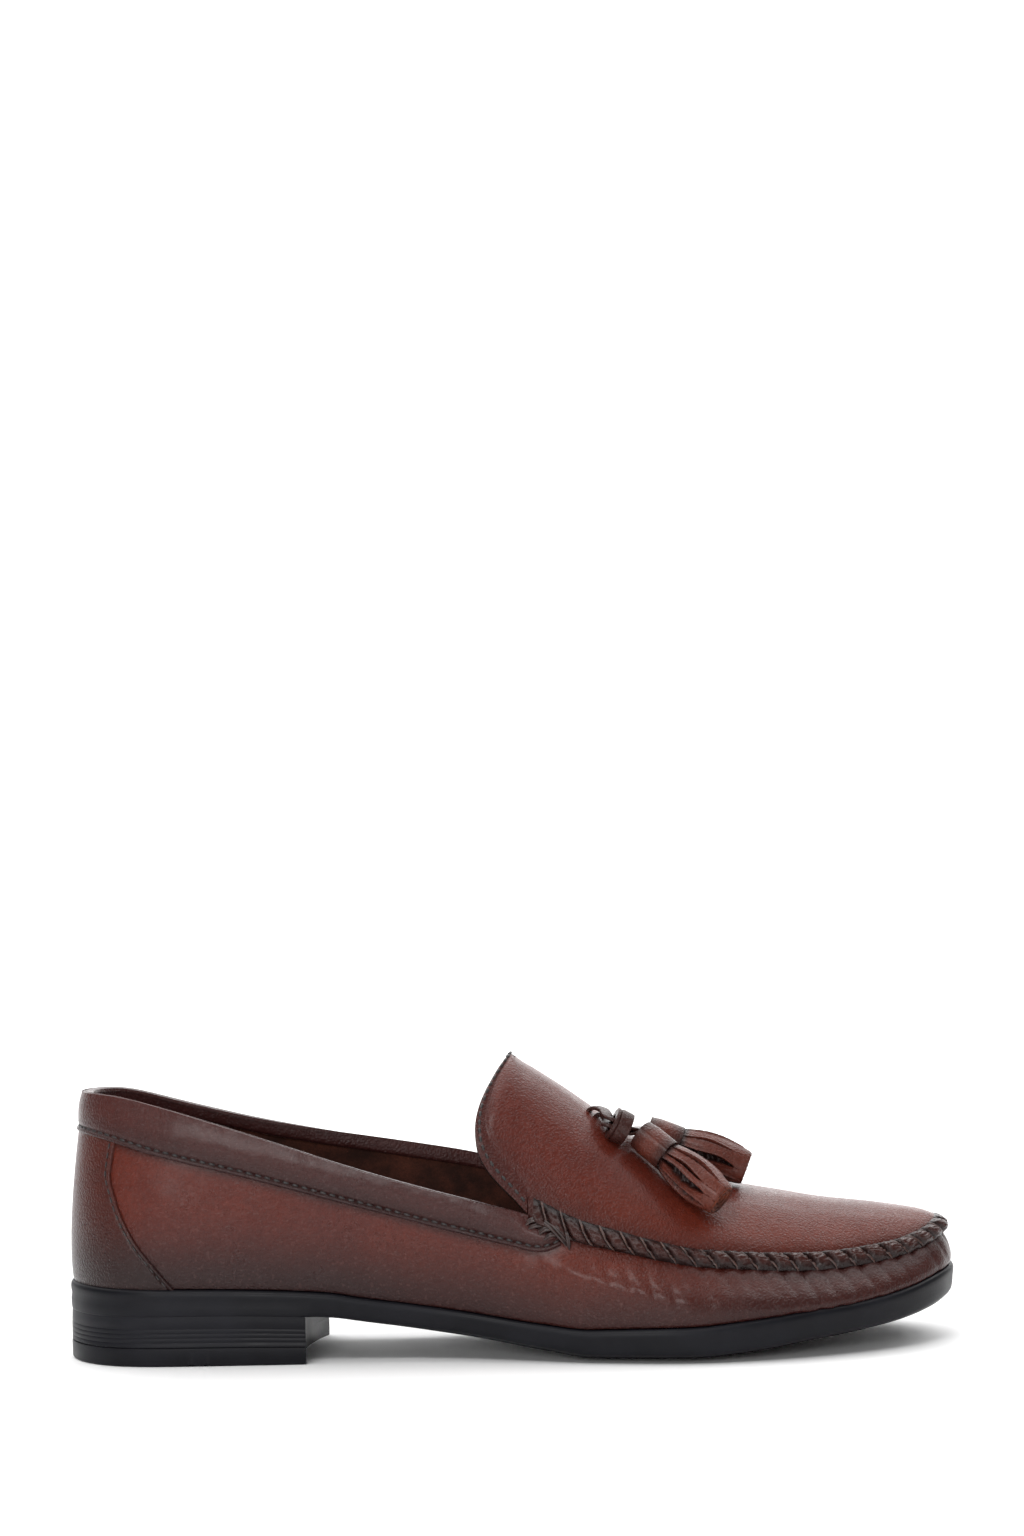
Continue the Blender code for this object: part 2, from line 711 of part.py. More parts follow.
def seam_frame(turn, reach):
    """Points a distance down the wall and in along the apron from the seam, and their outward normals."""
    seam = top_ring(turn)
    along = top_ring(turn + SEAM_STEP) - top_ring(turn - SEAM_STEP)
    low = wall(turn, 1 - reach / wall_height(turn))
    plan_in = unit(stacked(-along[..., 1], along[..., 0], 0.0))
    x = seam[..., 0] + plan_in[..., 0] * reach
    y = seam[..., 1] + plan_in[..., 1] * reach
    inner = stacked(x, y, apron_height(x, y))
    wall_out = unit(np.cross(along, seam - low))
    apron_out = unit(np.cross(along, inner - seam))
    return low, inner, wall_out, apron_out


def make_seam(parts, material):
    """Raised bead where the wall is gathered onto the apron."""
    front = half_turns()[1].copy()
    front[0] += SEAM_START
    turns = np.concatenate([front, FULL_TURN - front[-2::-1]])
    low, inner, wall_out, apron_out = seam_frame(turns, SEAM_WIDTH / 2)
    half_low, half_inner, _, _ = seam_frame(turns, SEAM_WIDTH / 4)
    seam = top_ring(turns)
    out = unit(wall_out + apron_out)
    ring = [
        low + wall_out * OVERLAY_GAP,
        low + wall_out * SEAM_HEIGHT * SEAM_FOOT,
        half_low + out * SEAM_HEIGHT * SEAM_SHOULDER,
        seam + out * SEAM_HEIGHT,
        half_inner + out * SEAM_HEIGHT * SEAM_SHOULDER,
        inner + apron_out * SEAM_HEIGHT * SEAM_LIP,
        inner + apron_out * OVERLAY_GAP,
        half_inner + apron_out * OVERLAY_GAP,
        seam + out * OVERLAY_GAP,
        half_low + wall_out * OVERLAY_GAP,
    ]
    points = np.stack(ring, axis=1)
    faces = grid_faces(len(turns), len(ring), closed=True)
    last = (len(turns) - 1) * len(ring)
    faces.append(tuple(range(len(ring))))
    faces.append(tuple(range(last + len(ring) - 1, last - 1, -1)))
    return face_out(put_mesh("apron_seam", points.reshape(-1, 3), faces, parts, material))


def spot(place):
    return LENGTH * place[0], BALL_WIDTH * place[1]


def on_apron(x, y, lift):
    """Point a distance over the apron at a plan position."""
    slope_x = (apron_height(x + SLOPE_STEP, y) - apron_height(x - SLOPE_STEP, y)) / (2 * SLOPE_STEP)
    slope_y = (apron_height(x, y + SLOPE_STEP) - apron_height(x, y - SLOPE_STEP)) / (2 * SLOPE_STEP)
    return np.array([x, y, apron_height(x, y)]) + unit(np.array([-slope_x, -slope_y, 1.0])) * lift


def along_path(points, count):
    """Evenly placed points on a smooth curve through the given ones."""
    points = np.array(points, float)
    lengths = np.linalg.norm(np.diff(points, axis=0), axis=1)
    marks = np.concatenate([[0], np.cumsum(lengths)])
    wanted = np.linspace(0, marks[-1], count)
    return np.stack([smooth(wanted, marks, points[:, i]) for i in range(3)], axis=1)


def frames_along(path, up):
    """Two unit directions square to a path, at its points."""
    tangent = unit(np.gradient(path, axis=0))
    side = unit(np.cross(tangent, up))
    return side, np.cross(side, tangent)


def swept(name, path, rings, parts, material):
    """Closed solid swept along a path. Each ring holds (side, up) pairs in metres."""
    side, lift = frames_along(path, UP)
    count = len(rings[0])
    points = []
    for centre, across, over, ring in zip(path, side, lift, rings):
        points += [centre + across * a + over * b for a, b in ring]
    faces = grid_faces(len(path), count, closed=True)
    last = (len(path) - 1) * count
    faces.append(tuple(range(count)))
    faces.append(tuple(range(last + count - 1, last - 1, -1)))
    return face_out(put_mesh(name, points, faces, parts, material))


def oval(width, height, count=10):
    angles = np.arange(count) * FULL_TURN / count
    return [(width / 2 * math.cos(a), height / 2 * math.sin(a)) for a in angles]


def ring_place():
    """Centre of the ring on the vamp, its axis towards the tassels, and two directions square to that."""
    centre = on_apron(*spot(RING_AT), RING_RADIUS + GAP)
    axis = unit(on_apron(*spot(NEAR_TASSEL[0]), CAP_RADIUS + 2 * GAP) - centre)
    side = unit(np.cross(axis, UP))
    return centre, axis, side, np.cross(side, axis)


def make_ring(parts, material):
    """Wound leather ring that gathers the lace: a turned barrel with a hole through it."""
    centre, axis, side, over = ring_place()
    half = RING_LENGTH / 2
    profile = [(RING_RADIUS * radius, half * height) for radius, height in RING_SIDE]
    profile = [(RING_HOLE, -half)] + profile + [(RING_HOLE, half)]
    points = []
    for radius, height in profile:
        for angle in np.arange(RING_STEPS) * FULL_TURN / RING_STEPS:
            spoke = side * math.cos(angle) + over * math.sin(angle)
            points.append(centre + axis * height + spoke * radius)
    faces = grid_faces(len(profile), RING_STEPS, closed=True)
    last = (len(profile) - 1) * RING_STEPS
    for c in range(RING_STEPS):
        after = (c + 1) % RING_STEPS
        faces.append((c, after, last + after, last + c))
    return face_out(put_mesh("tie_ring", points, faces, parts, material))


def make_laces(parts, material):
    """Two strands of lace out of the vamp, over to the ring and halfway through it."""
    centre, axis, _, over = ring_place()
    stop = centre - axis * GAP
    before = centre - axis * RING_LENGTH
    for name, arch, place, start_shift in LACES:
        x, y = spot(LACE_FROM)
        x += start_shift
        start = on_apron(x, y, LACE_THICKNESS / 2 + GAP)
        rise = on_apron(x + ARCH_AT[0], y + ARCH_AT[1], arch)
        offset = over * place * (LACE_THICKNESS / 2 + GAP)
        path = along_path([start, rise, before + offset * LACE_SPREAD, stop + offset], LACE_STEPS)
        rings = [oval(LACE_WIDTH, LACE_THICKNESS)] * len(path)
        swept(name, path, rings, parts, material)


def tassel_ring(radius, slit):
    """Section of a tassel: each strip has a crown and a slit beside it."""
    ring = []
    for strip in range(STRIPS):
        for place, depth in ((0.0, 1.0), (STRIP_FROM, 0.0), (STRIP_TO, 0.0)):
            angle = FULL_TURN * (strip + place) / STRIPS
            r = radius - slit * depth
            ring.append((r * math.cos(angle), r * math.sin(angle)))
    return ring


def make_tassel(name, start, end, from_side, parts, material):
    """Tassel with its lace end: a wrapped cap, and a skirt of strips that are whole again at their ends."""
    centre, axis, _, over = ring_place()
    offset = over * from_side * (LACE_THICKNESS / 2 + GAP)
    head = on_apron(*spot(start), CAP_RADIUS + 2 * GAP)
    foot = on_apron(*spot(end), SKIRT_RADIUS + 2 * GAP)
    direction = unit(foot - head)
    root = centre + axis * GAP + offset
    leave = centre + axis * (RING_LENGTH / 2 + GAP) + offset
    neck = head - direction * TASSEL_NECK
    lace = along_path([root, leave, (leave + neck) / 2, neck], TAIL_STEPS)
    path = list(lace)
    rings = [tassel_ring(LACE_THICKNESS / 2, 0.0)] * len(lace)
    for along, radius in CAP_SIDE:
        path.append(head + direction * CAP_LENGTH * along)
        rings.append(tassel_ring(CAP_RADIUS * radius, 0.0))
    for along, radius, slit in SKIRT_SIDE:
        path.append(head + direction * (CAP_LENGTH + SKIRT_LENGTH * along))
        rings.append(tassel_ring(SKIRT_RADIUS * radius, SLIT_DEPTH * slit))
    return swept(name, np.array(path), rings, parts, material)


def material_of(name, colour, roughness, metallic=0.0):
    material = bpy.data.materials.new(name)
    material.use_nodes = True
    shader = material.node_tree.nodes["Principled BSDF"]
    shader.inputs["Base Color"].default_value = (*colour, 1.0)
    shader.inputs["Roughness"].default_value = roughness
    shader.inputs["Metallic"].default_value = metallic
    material.diffuse_color = (*colour, 1.0)
    return material


def clear_scene():
    for obj in list(bpy.data.objects):
        bpy.data.objects.remove(obj, do_unlink=True)


def main():
    clear_scene()
    parts = bpy.data.collections.new("tassel_loafer")
    bpy.context.scene.collection.children.link(parts)

    rubber = material_of("outsole_rubber", (0.016, 0.016, 0.020), 0.42)
    heel = material_of("heel_stack", (0.018, 0.018, 0.021), 0.45)
    top_piece = material_of("top_piece_rubber", (0.014, 0.014, 0.017), 0.55)
    sock = material_of("insole_leather", (0.09, 0.04, 0.028), 0.60)
    leather = material_of("upper_leather", (0.135, 0.032, 0.016), 0.38)
    band = material_of("band_leather", (0.075, 0.024, 0.018), 0.40)
    counter = material_of("counter_leather", (0.120, 0.030, 0.016), 0.38)
    bead = material_of("seam_leather", (0.060, 0.020, 0.015), 0.42)
    ring = material_of("ring_leather", (0.080, 0.022, 0.016), 0.45)
    lace = material_of("lace_leather", (0.060, 0.020, 0.016), 0.50)
    tassel = material_of("tassel_leather", (0.100, 0.026, 0.016), 0.50)

    make_outsole(parts, rubber)
    heel_layer(
        "heel_block",
        HEEL_SIDE,
        lambda share: TOP_PIECE + GAP,
        lambda share: underside(share)[0] - GAP,
        parts,
        heel,
    )
    heel_layer("top_piece", TOP_PIECE_SIDE, lambda share: 0.0, lambda share: TOP_PIECE, parts, top_piece)
    make_insole(parts, sock)
    make_upper(parts, leather)
    make_band(parts, band)
    make_counter(parts, counter)
    make_seam(parts, bead)
    make_ring(parts, ring)
    make_laces(parts, lace)
    make_tassel("tassel_near", *NEAR_TASSEL, -1.0, parts, tassel)
    make_tassel("tassel_far", *FAR_TASSEL, 1.0, parts, tassel)


main()
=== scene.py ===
"""Looks of the tassel loafer: finishes, seams, stitches, lining, tassels, stage and camera.

The toe points along +X, the outer side faces -Y and +Z is up, in metres, as in the part's frame.
"""

import json
import math

import bmesh
import bpy
import numpy as np
from mathutils import Matrix, Vector

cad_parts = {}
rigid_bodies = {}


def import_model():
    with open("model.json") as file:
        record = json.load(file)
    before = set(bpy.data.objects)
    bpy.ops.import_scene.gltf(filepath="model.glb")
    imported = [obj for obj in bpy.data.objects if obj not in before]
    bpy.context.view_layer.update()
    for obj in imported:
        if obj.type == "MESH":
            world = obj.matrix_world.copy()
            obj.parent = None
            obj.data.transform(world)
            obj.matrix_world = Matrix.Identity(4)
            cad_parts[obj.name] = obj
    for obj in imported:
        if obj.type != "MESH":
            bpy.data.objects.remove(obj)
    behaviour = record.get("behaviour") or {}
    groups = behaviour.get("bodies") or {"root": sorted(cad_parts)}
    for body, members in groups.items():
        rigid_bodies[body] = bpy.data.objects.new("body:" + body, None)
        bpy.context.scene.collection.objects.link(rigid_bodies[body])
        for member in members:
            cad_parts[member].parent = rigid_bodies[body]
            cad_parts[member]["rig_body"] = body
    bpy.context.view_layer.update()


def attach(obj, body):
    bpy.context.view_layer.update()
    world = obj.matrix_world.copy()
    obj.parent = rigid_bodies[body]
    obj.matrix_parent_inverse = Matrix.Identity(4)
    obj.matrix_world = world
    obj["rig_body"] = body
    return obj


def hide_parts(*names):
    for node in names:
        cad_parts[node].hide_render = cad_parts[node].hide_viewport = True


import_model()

# Driving sizes
LENGTH = 0.300  # outsole, heel to toe
BALL_WIDTH = 0.104  # outsole at the ball
HEEL_WIDTH = 0.0655  # outsole at the heel seat
HEEL_HEIGHT = 0.0165  # floor to the underside of the outsole at the heel
TOE_SPRING = 0.0136  # floor to the underside of the outsole at the toe
SOLE_THICKNESS = 0.0086
SOLE_CROWN = 0.0025  # the underside's edge over its flat middle
SOLE_CROWN_RUN = 0.022  # width of the strip that rises to the edge
SOLE_RIM = 0.0018  # how far the outsole stands proud of the upper
BREAST_AT = 0.081  # heel back to the outer corner of the heel's front face
BREAST_SKEW = 0.0022
BREAST_HOLLOW = 0.0045
INSOLE = 0.0032
WALL = 0.0020  # leather and lining of the upper
WALL_BULGE = 0.0011
BACK_HEIGHT = 0.0632  # topline over the feather line at the heel
WALL_HEIGHT = 0.0349  # seam over the feather line at the throat, outer side
MEDIAL_LIFT = 0.0070  # how much higher the inner side is at the throat
DOME = 0.0426  # apron's ridge over its seam at the throat
HEEL_LEAN = 0.0060  # how far the topline lies in front of the heel's back
TOE_LEAN = 0.0040
THROAT = 0.514  # share of the top ring's length
TONGUE_TIP = 0.0506  # tongue's tip over the outer throat corner
TONGUE_BACK = 0.0170
TONGUE_RIDGE_BACK = 0.0045
BAND_WIDTH = 0.0121
SEAM_WIDTH = 0.0044
SEAM_HEIGHT = 0.0033
RING_LENGTH = 0.0050
RING_RADIUS = 0.0050
RING_HOLE = 0.0031
LACE_WIDTH = 0.0030
LACE_THICKNESS = 0.0013
CAP_LENGTH = 0.0120
CAP_RADIUS = 0.0053
SKIRT_LENGTH = 0.0240
TASSEL_NECK = 0.0010  # end of the lace to the cap's face
SKIRT_RADIUS = 0.0070
GAP = 0.0003
ASIDE = BALL_WIDTH * 0.029  # middle of the outsole's width to the line that its table is drawn from

# Outsole: station along LENGTH, middle as a share of BALL_WIDTH, half width as a share of the local width
OUTLINE = np.array(
    [
        # along, middle, half
        (0.000, 0.000, 0.000),
        (0.020, 0.000, 0.285),
        (0.060, 0.000, 0.437),
        (0.150, 0.000, 0.497),
        (0.280, -0.012, 0.484),
        (0.420, -0.030, 0.457),
        (0.550, -0.022, 0.465),
        (0.660, 0.008, 0.490),
        (0.740, 0.032, 0.500),
        (0.830, 0.052, 0.462),
        (0.910, 0.066, 0.372),
        (0.965, 0.072, 0.248),
        (1.000, 0.074, 0.000),
    ]
)

# Outsole from the side: shares of HEEL_HEIGHT, TOE_SPRING, SOLE_CROWN and SOLE_THICKNESS
PROFILE = np.array(
    [
        # along, heel, toe, crown, thickness
        (0.000, 1.00, 0.00, 0.00, 1.12),
        (0.070, 1.00, 0.00, 0.00, 1.06),
        (0.150, 1.00, 0.00, 0.00, 1.00),
        (0.290, 0.91, 0.00, 0.10, 0.94),
        (0.335, 0.74, 0.00, 0.60, 0.87),
        (0.400, 0.54, 0.00, 0.90, 0.845),
        (0.460, 0.37, 0.00, 1.00, 0.84),
        (0.530, 0.145, 0.00, 1.00, 0.895),
        (0.585, 0.00, 0.00, 1.00, 0.99),
        (0.690, 0.00, 0.00, 1.00, 1.08),
        (0.750, 0.00, 0.09, 1.00, 1.12),
        (0.820, 0.00, 0.29, 1.00, 1.07),
        (0.880, 0.00, 0.45, 0.95, 1.04),
        (0.930, 0.00, 0.61, 0.90, 1.085),
        (0.970, 0.00, 0.80, 0.90, 1.13),
        (1.000, 0.00, 1.00, 0.90, 1.05),
    ]
)

# Topline and seam: station along the top ring, middle as a share of BALL_WIDTH, half width as a share of
# the local width, then shares of BACK_HEIGHT, WALL_HEIGHT and MEDIAL_LIFT over the seat line
TOP_RING = np.array(
    [
        # along, middle, half, back, fore, lift
        (0.000, 0.000, 0.000, 1.000, 0.000, 0.00),
        (0.031, 0.000, 0.283, 0.996, 0.000, -0.06),
        (0.090, 0.000, 0.389, 0.941, 0.000, -0.20),
        (0.1345, 0.000, 0.428, 0.880, 0.000, -0.17),
        (0.186, 0.000, 0.452, 0.750, 0.097, -0.03),
        (0.255, 0.000, 0.475, 0.560, 0.249, 0.31),
        (0.314, 0.000, 0.496, 0.400, 0.378, 0.66),
        (0.393, 0.000, 0.517, 0.205, 0.608, 1.03),
        (0.445, 0.000, 0.501, 0.100, 0.789, 1.19),
        (0.483, 0.000, 0.475, 0.040, 0.912, 1.23),
        (0.514, 0.000, 0.451, 0.000, 0.987, 1.20),
        (0.552, 0.002, 0.442, 0.000, 0.907, 1.00),
        (0.600, 0.005, 0.423, 0.000, 0.804, 0.79),
        (0.6655, 0.010, 0.396, 0.000, 0.666, 0.55),
        (0.724, 0.018, 0.375, 0.000, 0.568, 0.41),
        (0.783, 0.028, 0.350, 0.000, 0.476, 0.30),
        (0.841, 0.040, 0.318, 0.000, 0.400, 0.21),
        (0.886, 0.050, 0.284, 0.000, 0.381, 0.14),
        (0.9345, 0.060, 0.236, 0.000, 0.366, 0.08),
        (0.972, 0.066, 0.168, 0.000, 0.366, 0.03),
        (1.000, 0.069, 0.000, 0.000, 0.381, 0.00),
    ]
)

# Apron's ridge over its seam: share of DOME
RIDGE = np.array(
    [
        # along, dome
        (0.514, 1.000),
        (0.537, 0.980),
        (0.563, 0.946),
        (0.589, 0.873),
        (0.625, 0.758),
        (0.672, 0.630),
        (0.724, 0.512),
        (0.770, 0.465),
        (0.814, 0.437),
        (0.862, 0.387),
        (0.907, 0.329),
        (0.952, 0.242),
        (0.982, 0.143),
        (1.000, 0.000),
    ]
)

# Tongue's free edge, from the throat corner to the tip: shares of TONGUE_BACK on the outer and on the inner
# side, of the throat's half width, of the rise to the tip, and of TONGUE_RIDGE_BACK for the row's ridge point
TONGUE = np.array(
    [
        # reach, outer, inner, half, rise, ridge
        (0.00, 0.000, 0.000, 1.000, 0.000, 0.00),
        (0.10, 0.235, 0.210, 0.965, 0.090, 0.18),
        (0.20, 0.530, 0.440, 0.930, 0.190, 0.36),
        (0.30, 0.790, 0.620, 0.885, 0.295, 0.50),
        (0.40, 0.950, 0.720, 0.825, 0.402, 0.62),
        (0.50, 1.000, 0.740, 0.745, 0.505, 0.72),
        (0.60, 0.980, 0.700, 0.650, 0.610, 0.80),
        (0.70, 0.870, 0.610, 0.535, 0.725, 0.87),
        (0.80, 0.700, 0.490, 0.400, 0.830, 0.93),
        (0.90, 0.475, 0.370, 0.225, 0.940, 0.98),
        (1.00, 0.265, 0.265, 0.000, 1.000, 1.00),
    ]
)

# Collar band: station along the top ring, its lower and upper edge under the top, shares of BAND_WIDTH
BAND = np.array(
    [
        # along, lower, upper
        (0.000, 1.09, 0.00),
        (0.090, 1.30, 0.00),
        (0.1345, 1.26, 0.00),
        (0.186, 1.17, 0.00),
        (0.393, 0.95, 0.00),
        (0.502, 0.95, 0.00),
        (0.514, 0.94, 0.26),
        (0.528, 0.84, 0.28),
        (0.541, 0.62, 0.28),
        (0.550, 0.42, 0.28),
    ]
)

# Heel counter's front edge: level up the wall, station along the wall
COUNTER = np.array(
    [
        # level, along
        (0.00, 0.1260),
        (0.13, 0.1040),
        (0.27, 0.0805),
        (0.47, 0.0576),
        (0.60, 0.0488),
        (0.78, 0.0510),
    ]
)


# Places in plan, along and across: shares of LENGTH and BALL_WIDTH
RING_AT = (0.1140, -0.1654)
LACE_FROM = (0.0863, -0.0942)
NEAR_TASSEL = ((0.1343, -0.1596), (0.2207, -0.2692))
FAR_TASSEL = ((0.1477, -0.0192), (0.2627, -0.0433))

# Lace strands: height of the arch over the vamp, place in the pair, shift of the start along the vamp
LACES = ((0.0042, 1.0, -0.0010), (0.0022, -1.0, 0.0016))
ARCH_AT = (0.0020, -0.0016)  # top of the arch, in plan from the start
LACE_SPREAD = 1.3  # distance of the pair before the ring over that inside it

# Forms of the upper's surface
WAIST_FROM, WAIST_TO = 0.36, 0.72  # where the local width goes over from heel to ball
SEAT_FROM, SEAT_TO = 0.30, 0.55  # where the seat line goes over from the heel's height to the feather line
WALL_LEAN = 1.7
BULGE_LOW = 0.6
APRON_ROUND = 2.4
INSOLE_CLEARANCE = 0.0006

# Small steps that slopes are taken over
PLAN_STEP = 0.004
SLOPE_STEP = 0.001

UP = (0.0, 0.0, 1.0)
FULL_TURN = 2 * math.pi
RING_SHARE = LENGTH - HEEL_LEAN - TOE_LEAN


def smooth(x, xs, ys):
    """Natural cubic spline through the rows."""
    step = np.diff(xs)
    slope = np.diff(ys) / step
    size = len(xs)
    matrix = np.eye(size)
    right = np.zeros(size)
    for i in range(1, size - 1):
        matrix[i, i - 1] = step[i - 1]
        matrix[i, i] = 2 * (step[i - 1] + step[i])
        matrix[i, i + 1] = step[i]
        right[i] = 6 * (slope[i] - slope[i - 1])
    bend = np.linalg.solve(matrix, right)
    x = np.clip(x, xs[0], xs[-1])
    i = np.clip(np.searchsorted(xs, x) - 1, 0, size - 2)
    a = (xs[i + 1] - x) / step[i]
    b = 1 - a
    return a * ys[i] + b * ys[i + 1] + ((a**3 - a) * bend[i] + (b**3 - b) * bend[i + 1]) * step[i] ** 2 / 6


def level_curve(x, xs, ys):
    """Smooth curve through the rows that never passes beyond them, so level stretches stay level."""
    step = np.diff(xs)
    slope = np.diff(ys) / step
    tangent = np.zeros(len(xs))
    same = slope[:-1] * slope[1:] > 0
    first = 2 * step[1:] + step[:-1]
    second = step[1:] + 2 * step[:-1]
    for i in np.flatnonzero(same):
        tangent[i + 1] = (first[i] + second[i]) / (first[i] / slope[i] + second[i] / slope[i + 1])
    tangent[0] = slope[0]
    tangent[-1] = slope[-1]
    x = np.clip(x, xs[0], xs[-1])
    i = np.clip(np.searchsorted(xs, x) - 1, 0, len(xs) - 2)
    t = (x - xs[i]) / step[i]
    start = (2 * t**3 - 3 * t**2 + 1) * ys[i] + (t**3 - 2 * t**2 + t) * step[i] * tangent[i]
    end = (3 * t**2 - 2 * t**3) * ys[i + 1] + (t**3 - t**2) * step[i] * tangent[i + 1]
    return start + end


def stacked(*parts):
    return np.stack(np.broadcast_arrays(*parts), axis=-1)


def unit(v):
    return v / np.linalg.norm(v, axis=-1, keepdims=True)


def share_of(turn):
    """Station along the shoe, 0 at the heel and 1 at the toe, of a turn round it from the heel's back."""
    return (1 - np.cos(turn)) / 2


def turn_of(share):
    return np.arccos(np.clip(1 - 2 * share, -1, 1))


def folded(turn):
    """The same turn measured from the heel on either side, from 0 to pi."""
    turn = np.mod(turn, FULL_TURN)
    return np.minimum(turn, FULL_TURN - turn)


def side_of(turn):
    """-1 on the outer side, +1 on the inner side."""
    return np.where(np.mod(turn, FULL_TURN) <= math.pi, -1.0, 1.0)


def local_width(share):
    t = np.clip((share - WAIST_FROM) / (WAIST_TO - WAIST_FROM), 0, 1)
    return HEEL_WIDTH + (BALL_WIDTH - HEEL_WIDTH) * t * t * (3 - 2 * t)


def plan(table, turn, length, start):
    """Plan position on a ring whose middles and half widths are in the table's second and third columns."""
    angle = folded(turn)
    share = share_of(angle)
    half = local_width(share) * smooth(angle, turn_of(table[:, 0]), table[:, 2])
    middle = BALL_WIDTH * smooth(share, table[:, 0], table[:, 1])
    return stacked(start + share * length, middle + side_of(turn) * half - ASIDE, 0.0)


def plan_normal(table, turn, length, start):
    """Level unit vector that points out of the ring."""
    along = plan(table, turn + PLAN_STEP, length, start) - plan(table, turn - PLAN_STEP, length, start)
    return unit(stacked(along[..., 1], -along[..., 0], 0.0))


def column(table, share, index):
    return level_curve(share, table[:, 0], table[:, index])


def outline(turn, inset=0.0):
    """Plan position on the outsole's edge, or a distance inside it."""
    turn = np.asarray(turn, float)
    edge = plan(OUTLINE, turn, LENGTH, -LENGTH / 2)
    return edge - plan_normal(OUTLINE, turn, LENGTH, -LENGTH / 2) * inset


def share_at(x):
    return np.clip(x / LENGTH + 0.5, 0, 1)


def underside(share):
    """Height of the outsole's underside along its middle, and how much its edge is over that."""
    heel = HEEL_HEIGHT * column(PROFILE, share, 1)
    toe = TOE_SPRING * column(PROFILE, share, 2)
    return heel + toe, SOLE_CROWN * column(PROFILE, share, 3)


def feather(x):
    """Height of the outsole's top at x."""
    share = share_at(x)
    low, crown = underside(share)
    return low + crown + SOLE_THICKNESS * column(PROFILE, share, 4)


def seat_line(x):
    """Height that the topline is measured from: level at the heel, and the feather line from the throat on."""
    t = np.clip((share_at(x) - SEAT_FROM) / (SEAT_TO - SEAT_FROM), 0, 1)
    local = t * t * (3 - 2 * t)
    return feather(-LENGTH / 2) * (1 - local) + feather(x) * local


def top_ring(turn):
    """Top edge of the wall: the topline behind the throat and the apron's seam in front of it."""
    share = share_of(folded(turn))
    edge = plan(TOP_RING, turn, RING_SHARE, HEEL_LEAN - LENGTH / 2)
    x, y = edge[..., 0], edge[..., 1]
    rows = TOP_RING[:, 0]
    height = BACK_HEIGHT * smooth(share, rows, TOP_RING[:, 3]) + WALL_HEIGHT * smooth(share, rows, TOP_RING[:, 4])
    lift = MEDIAL_LIFT * smooth(share, rows, TOP_RING[:, 5])
    return stacked(x, y, seat_line(x) + height + lift * (side_of(turn) > 0))


def foot_ring(turn):
    """Bottom edge of the wall, on the outsole."""
    edge = outline(turn, SOLE_RIM)
    return stacked(edge[..., 0], edge[..., 1], feather(edge[..., 0]) + GAP)


def wall(turn, level):
    """Outer face of the wall, from 0 at the outsole to 1 at the top."""
    turn, level = np.broadcast_arrays(np.asarray(turn, float), np.asarray(level, float))
    foot = foot_ring(turn)
    top = top_ring(turn)
    lean = np.clip(level, 0, 1) ** WALL_LEAN
    point = foot + (top - foot) * stacked(lean, lean, level)
    swell = WALL_BULGE * np.sin(math.pi * np.clip(level, 0, 1) ** BULGE_LOW)
    return point + plan_normal(OUTLINE, turn, LENGTH, -LENGTH / 2) * swell[..., None]


def apron(turn, across):
    """Outer face of the apron: across runs from -1 at the outer seam to 1 at the inner seam."""
    turn, across = np.broadcast_arrays(np.asarray(turn, float), np.asarray(across, float))
    outer = top_ring(turn)
    inner = top_ring(FULL_TURN - turn)
    mix = ((across + 1) / 2)[..., None]
    point = outer * (1 - mix) + inner * mix
    dome = DOME * smooth(turn, turn_of(RIDGE[:, 0]), RIDGE[:, 1])
    rise = dome * (1 - np.abs(across) ** APRON_ROUND)
    return point + stacked(0 * rise, 0 * rise, rise)


def tongue(reach, across):
    """Outer face of the free tongue: reach runs from 0 at the throat to 1 at the tip."""
    reach, across = np.broadcast_arrays(np.asarray(reach, float), np.asarray(across, float))
    throat_turn = turn_of(THROAT)
    outer = top_ring(throat_turn)
    inner = top_ring(FULL_TURN - throat_turn)
    ridge = apron(throat_turn, 0.0)
    tip_height = outer[2] + TONGUE_TIP
    rows = TONGUE[:, 0]
    outer_back, inner_back, half, rise, ridge_back = (smooth(reach, rows, TONGUE[:, i]) for i in range(1, 6))
    mix = (across + 1) / 2
    middle = (outer[1] + inner[1]) / 2
    y = middle + (inner[1] - middle) * half * across
    edge_x = ridge[0] - TONGUE_BACK * (outer_back * (1 - mix) + inner_back * mix)
    outer_z = outer[2] + (tip_height - outer[2]) * rise
    inner_z = inner[2] + (tip_height - inner[2]) * rise
    ridge_x = ridge[0] - TONGUE_RIDGE_BACK * ridge_back
    ridge_z = ridge[2] + (tip_height - ridge[2]) * ridge_back
    arch = 1 - np.abs(across) ** APRON_ROUND
    z = outer_z * (1 - mix) + inner_z * mix + (ridge_z - (outer_z + inner_z) / 2) * arch
    return stacked(edge_x + (ridge_x - edge_x) * arch, y, z)


def apron_height(x, y):
    """Height of the apron at a plan position."""
    turn = turn_of((x + LENGTH / 2 - HEEL_LEAN) / RING_SHARE)
    outer = top_ring(turn)
    inner = top_ring(FULL_TURN - turn)
    half = np.maximum((inner[..., 1] - outer[..., 1]) / 2, 1e-6)
    across = (y - (outer[..., 1] + inner[..., 1]) / 2) / half
    return apron(turn, np.clip(across, -1, 1))[..., 2]


def grid(rows, columns, closed=False, flip=False):
    """Quads over points laid out row by row, as an array of corner numbers."""
    last = columns if closed else columns - 1
    r = np.arange(rows - 1)[:, None]
    c = np.arange(last)[None, :]
    a = r * columns + c
    b = r * columns + (c + 1) % columns
    quads = np.stack([a, b, b + columns, a + columns], axis=-1).reshape(-1, 4)
    return quads[:, ::-1] if flip else quads


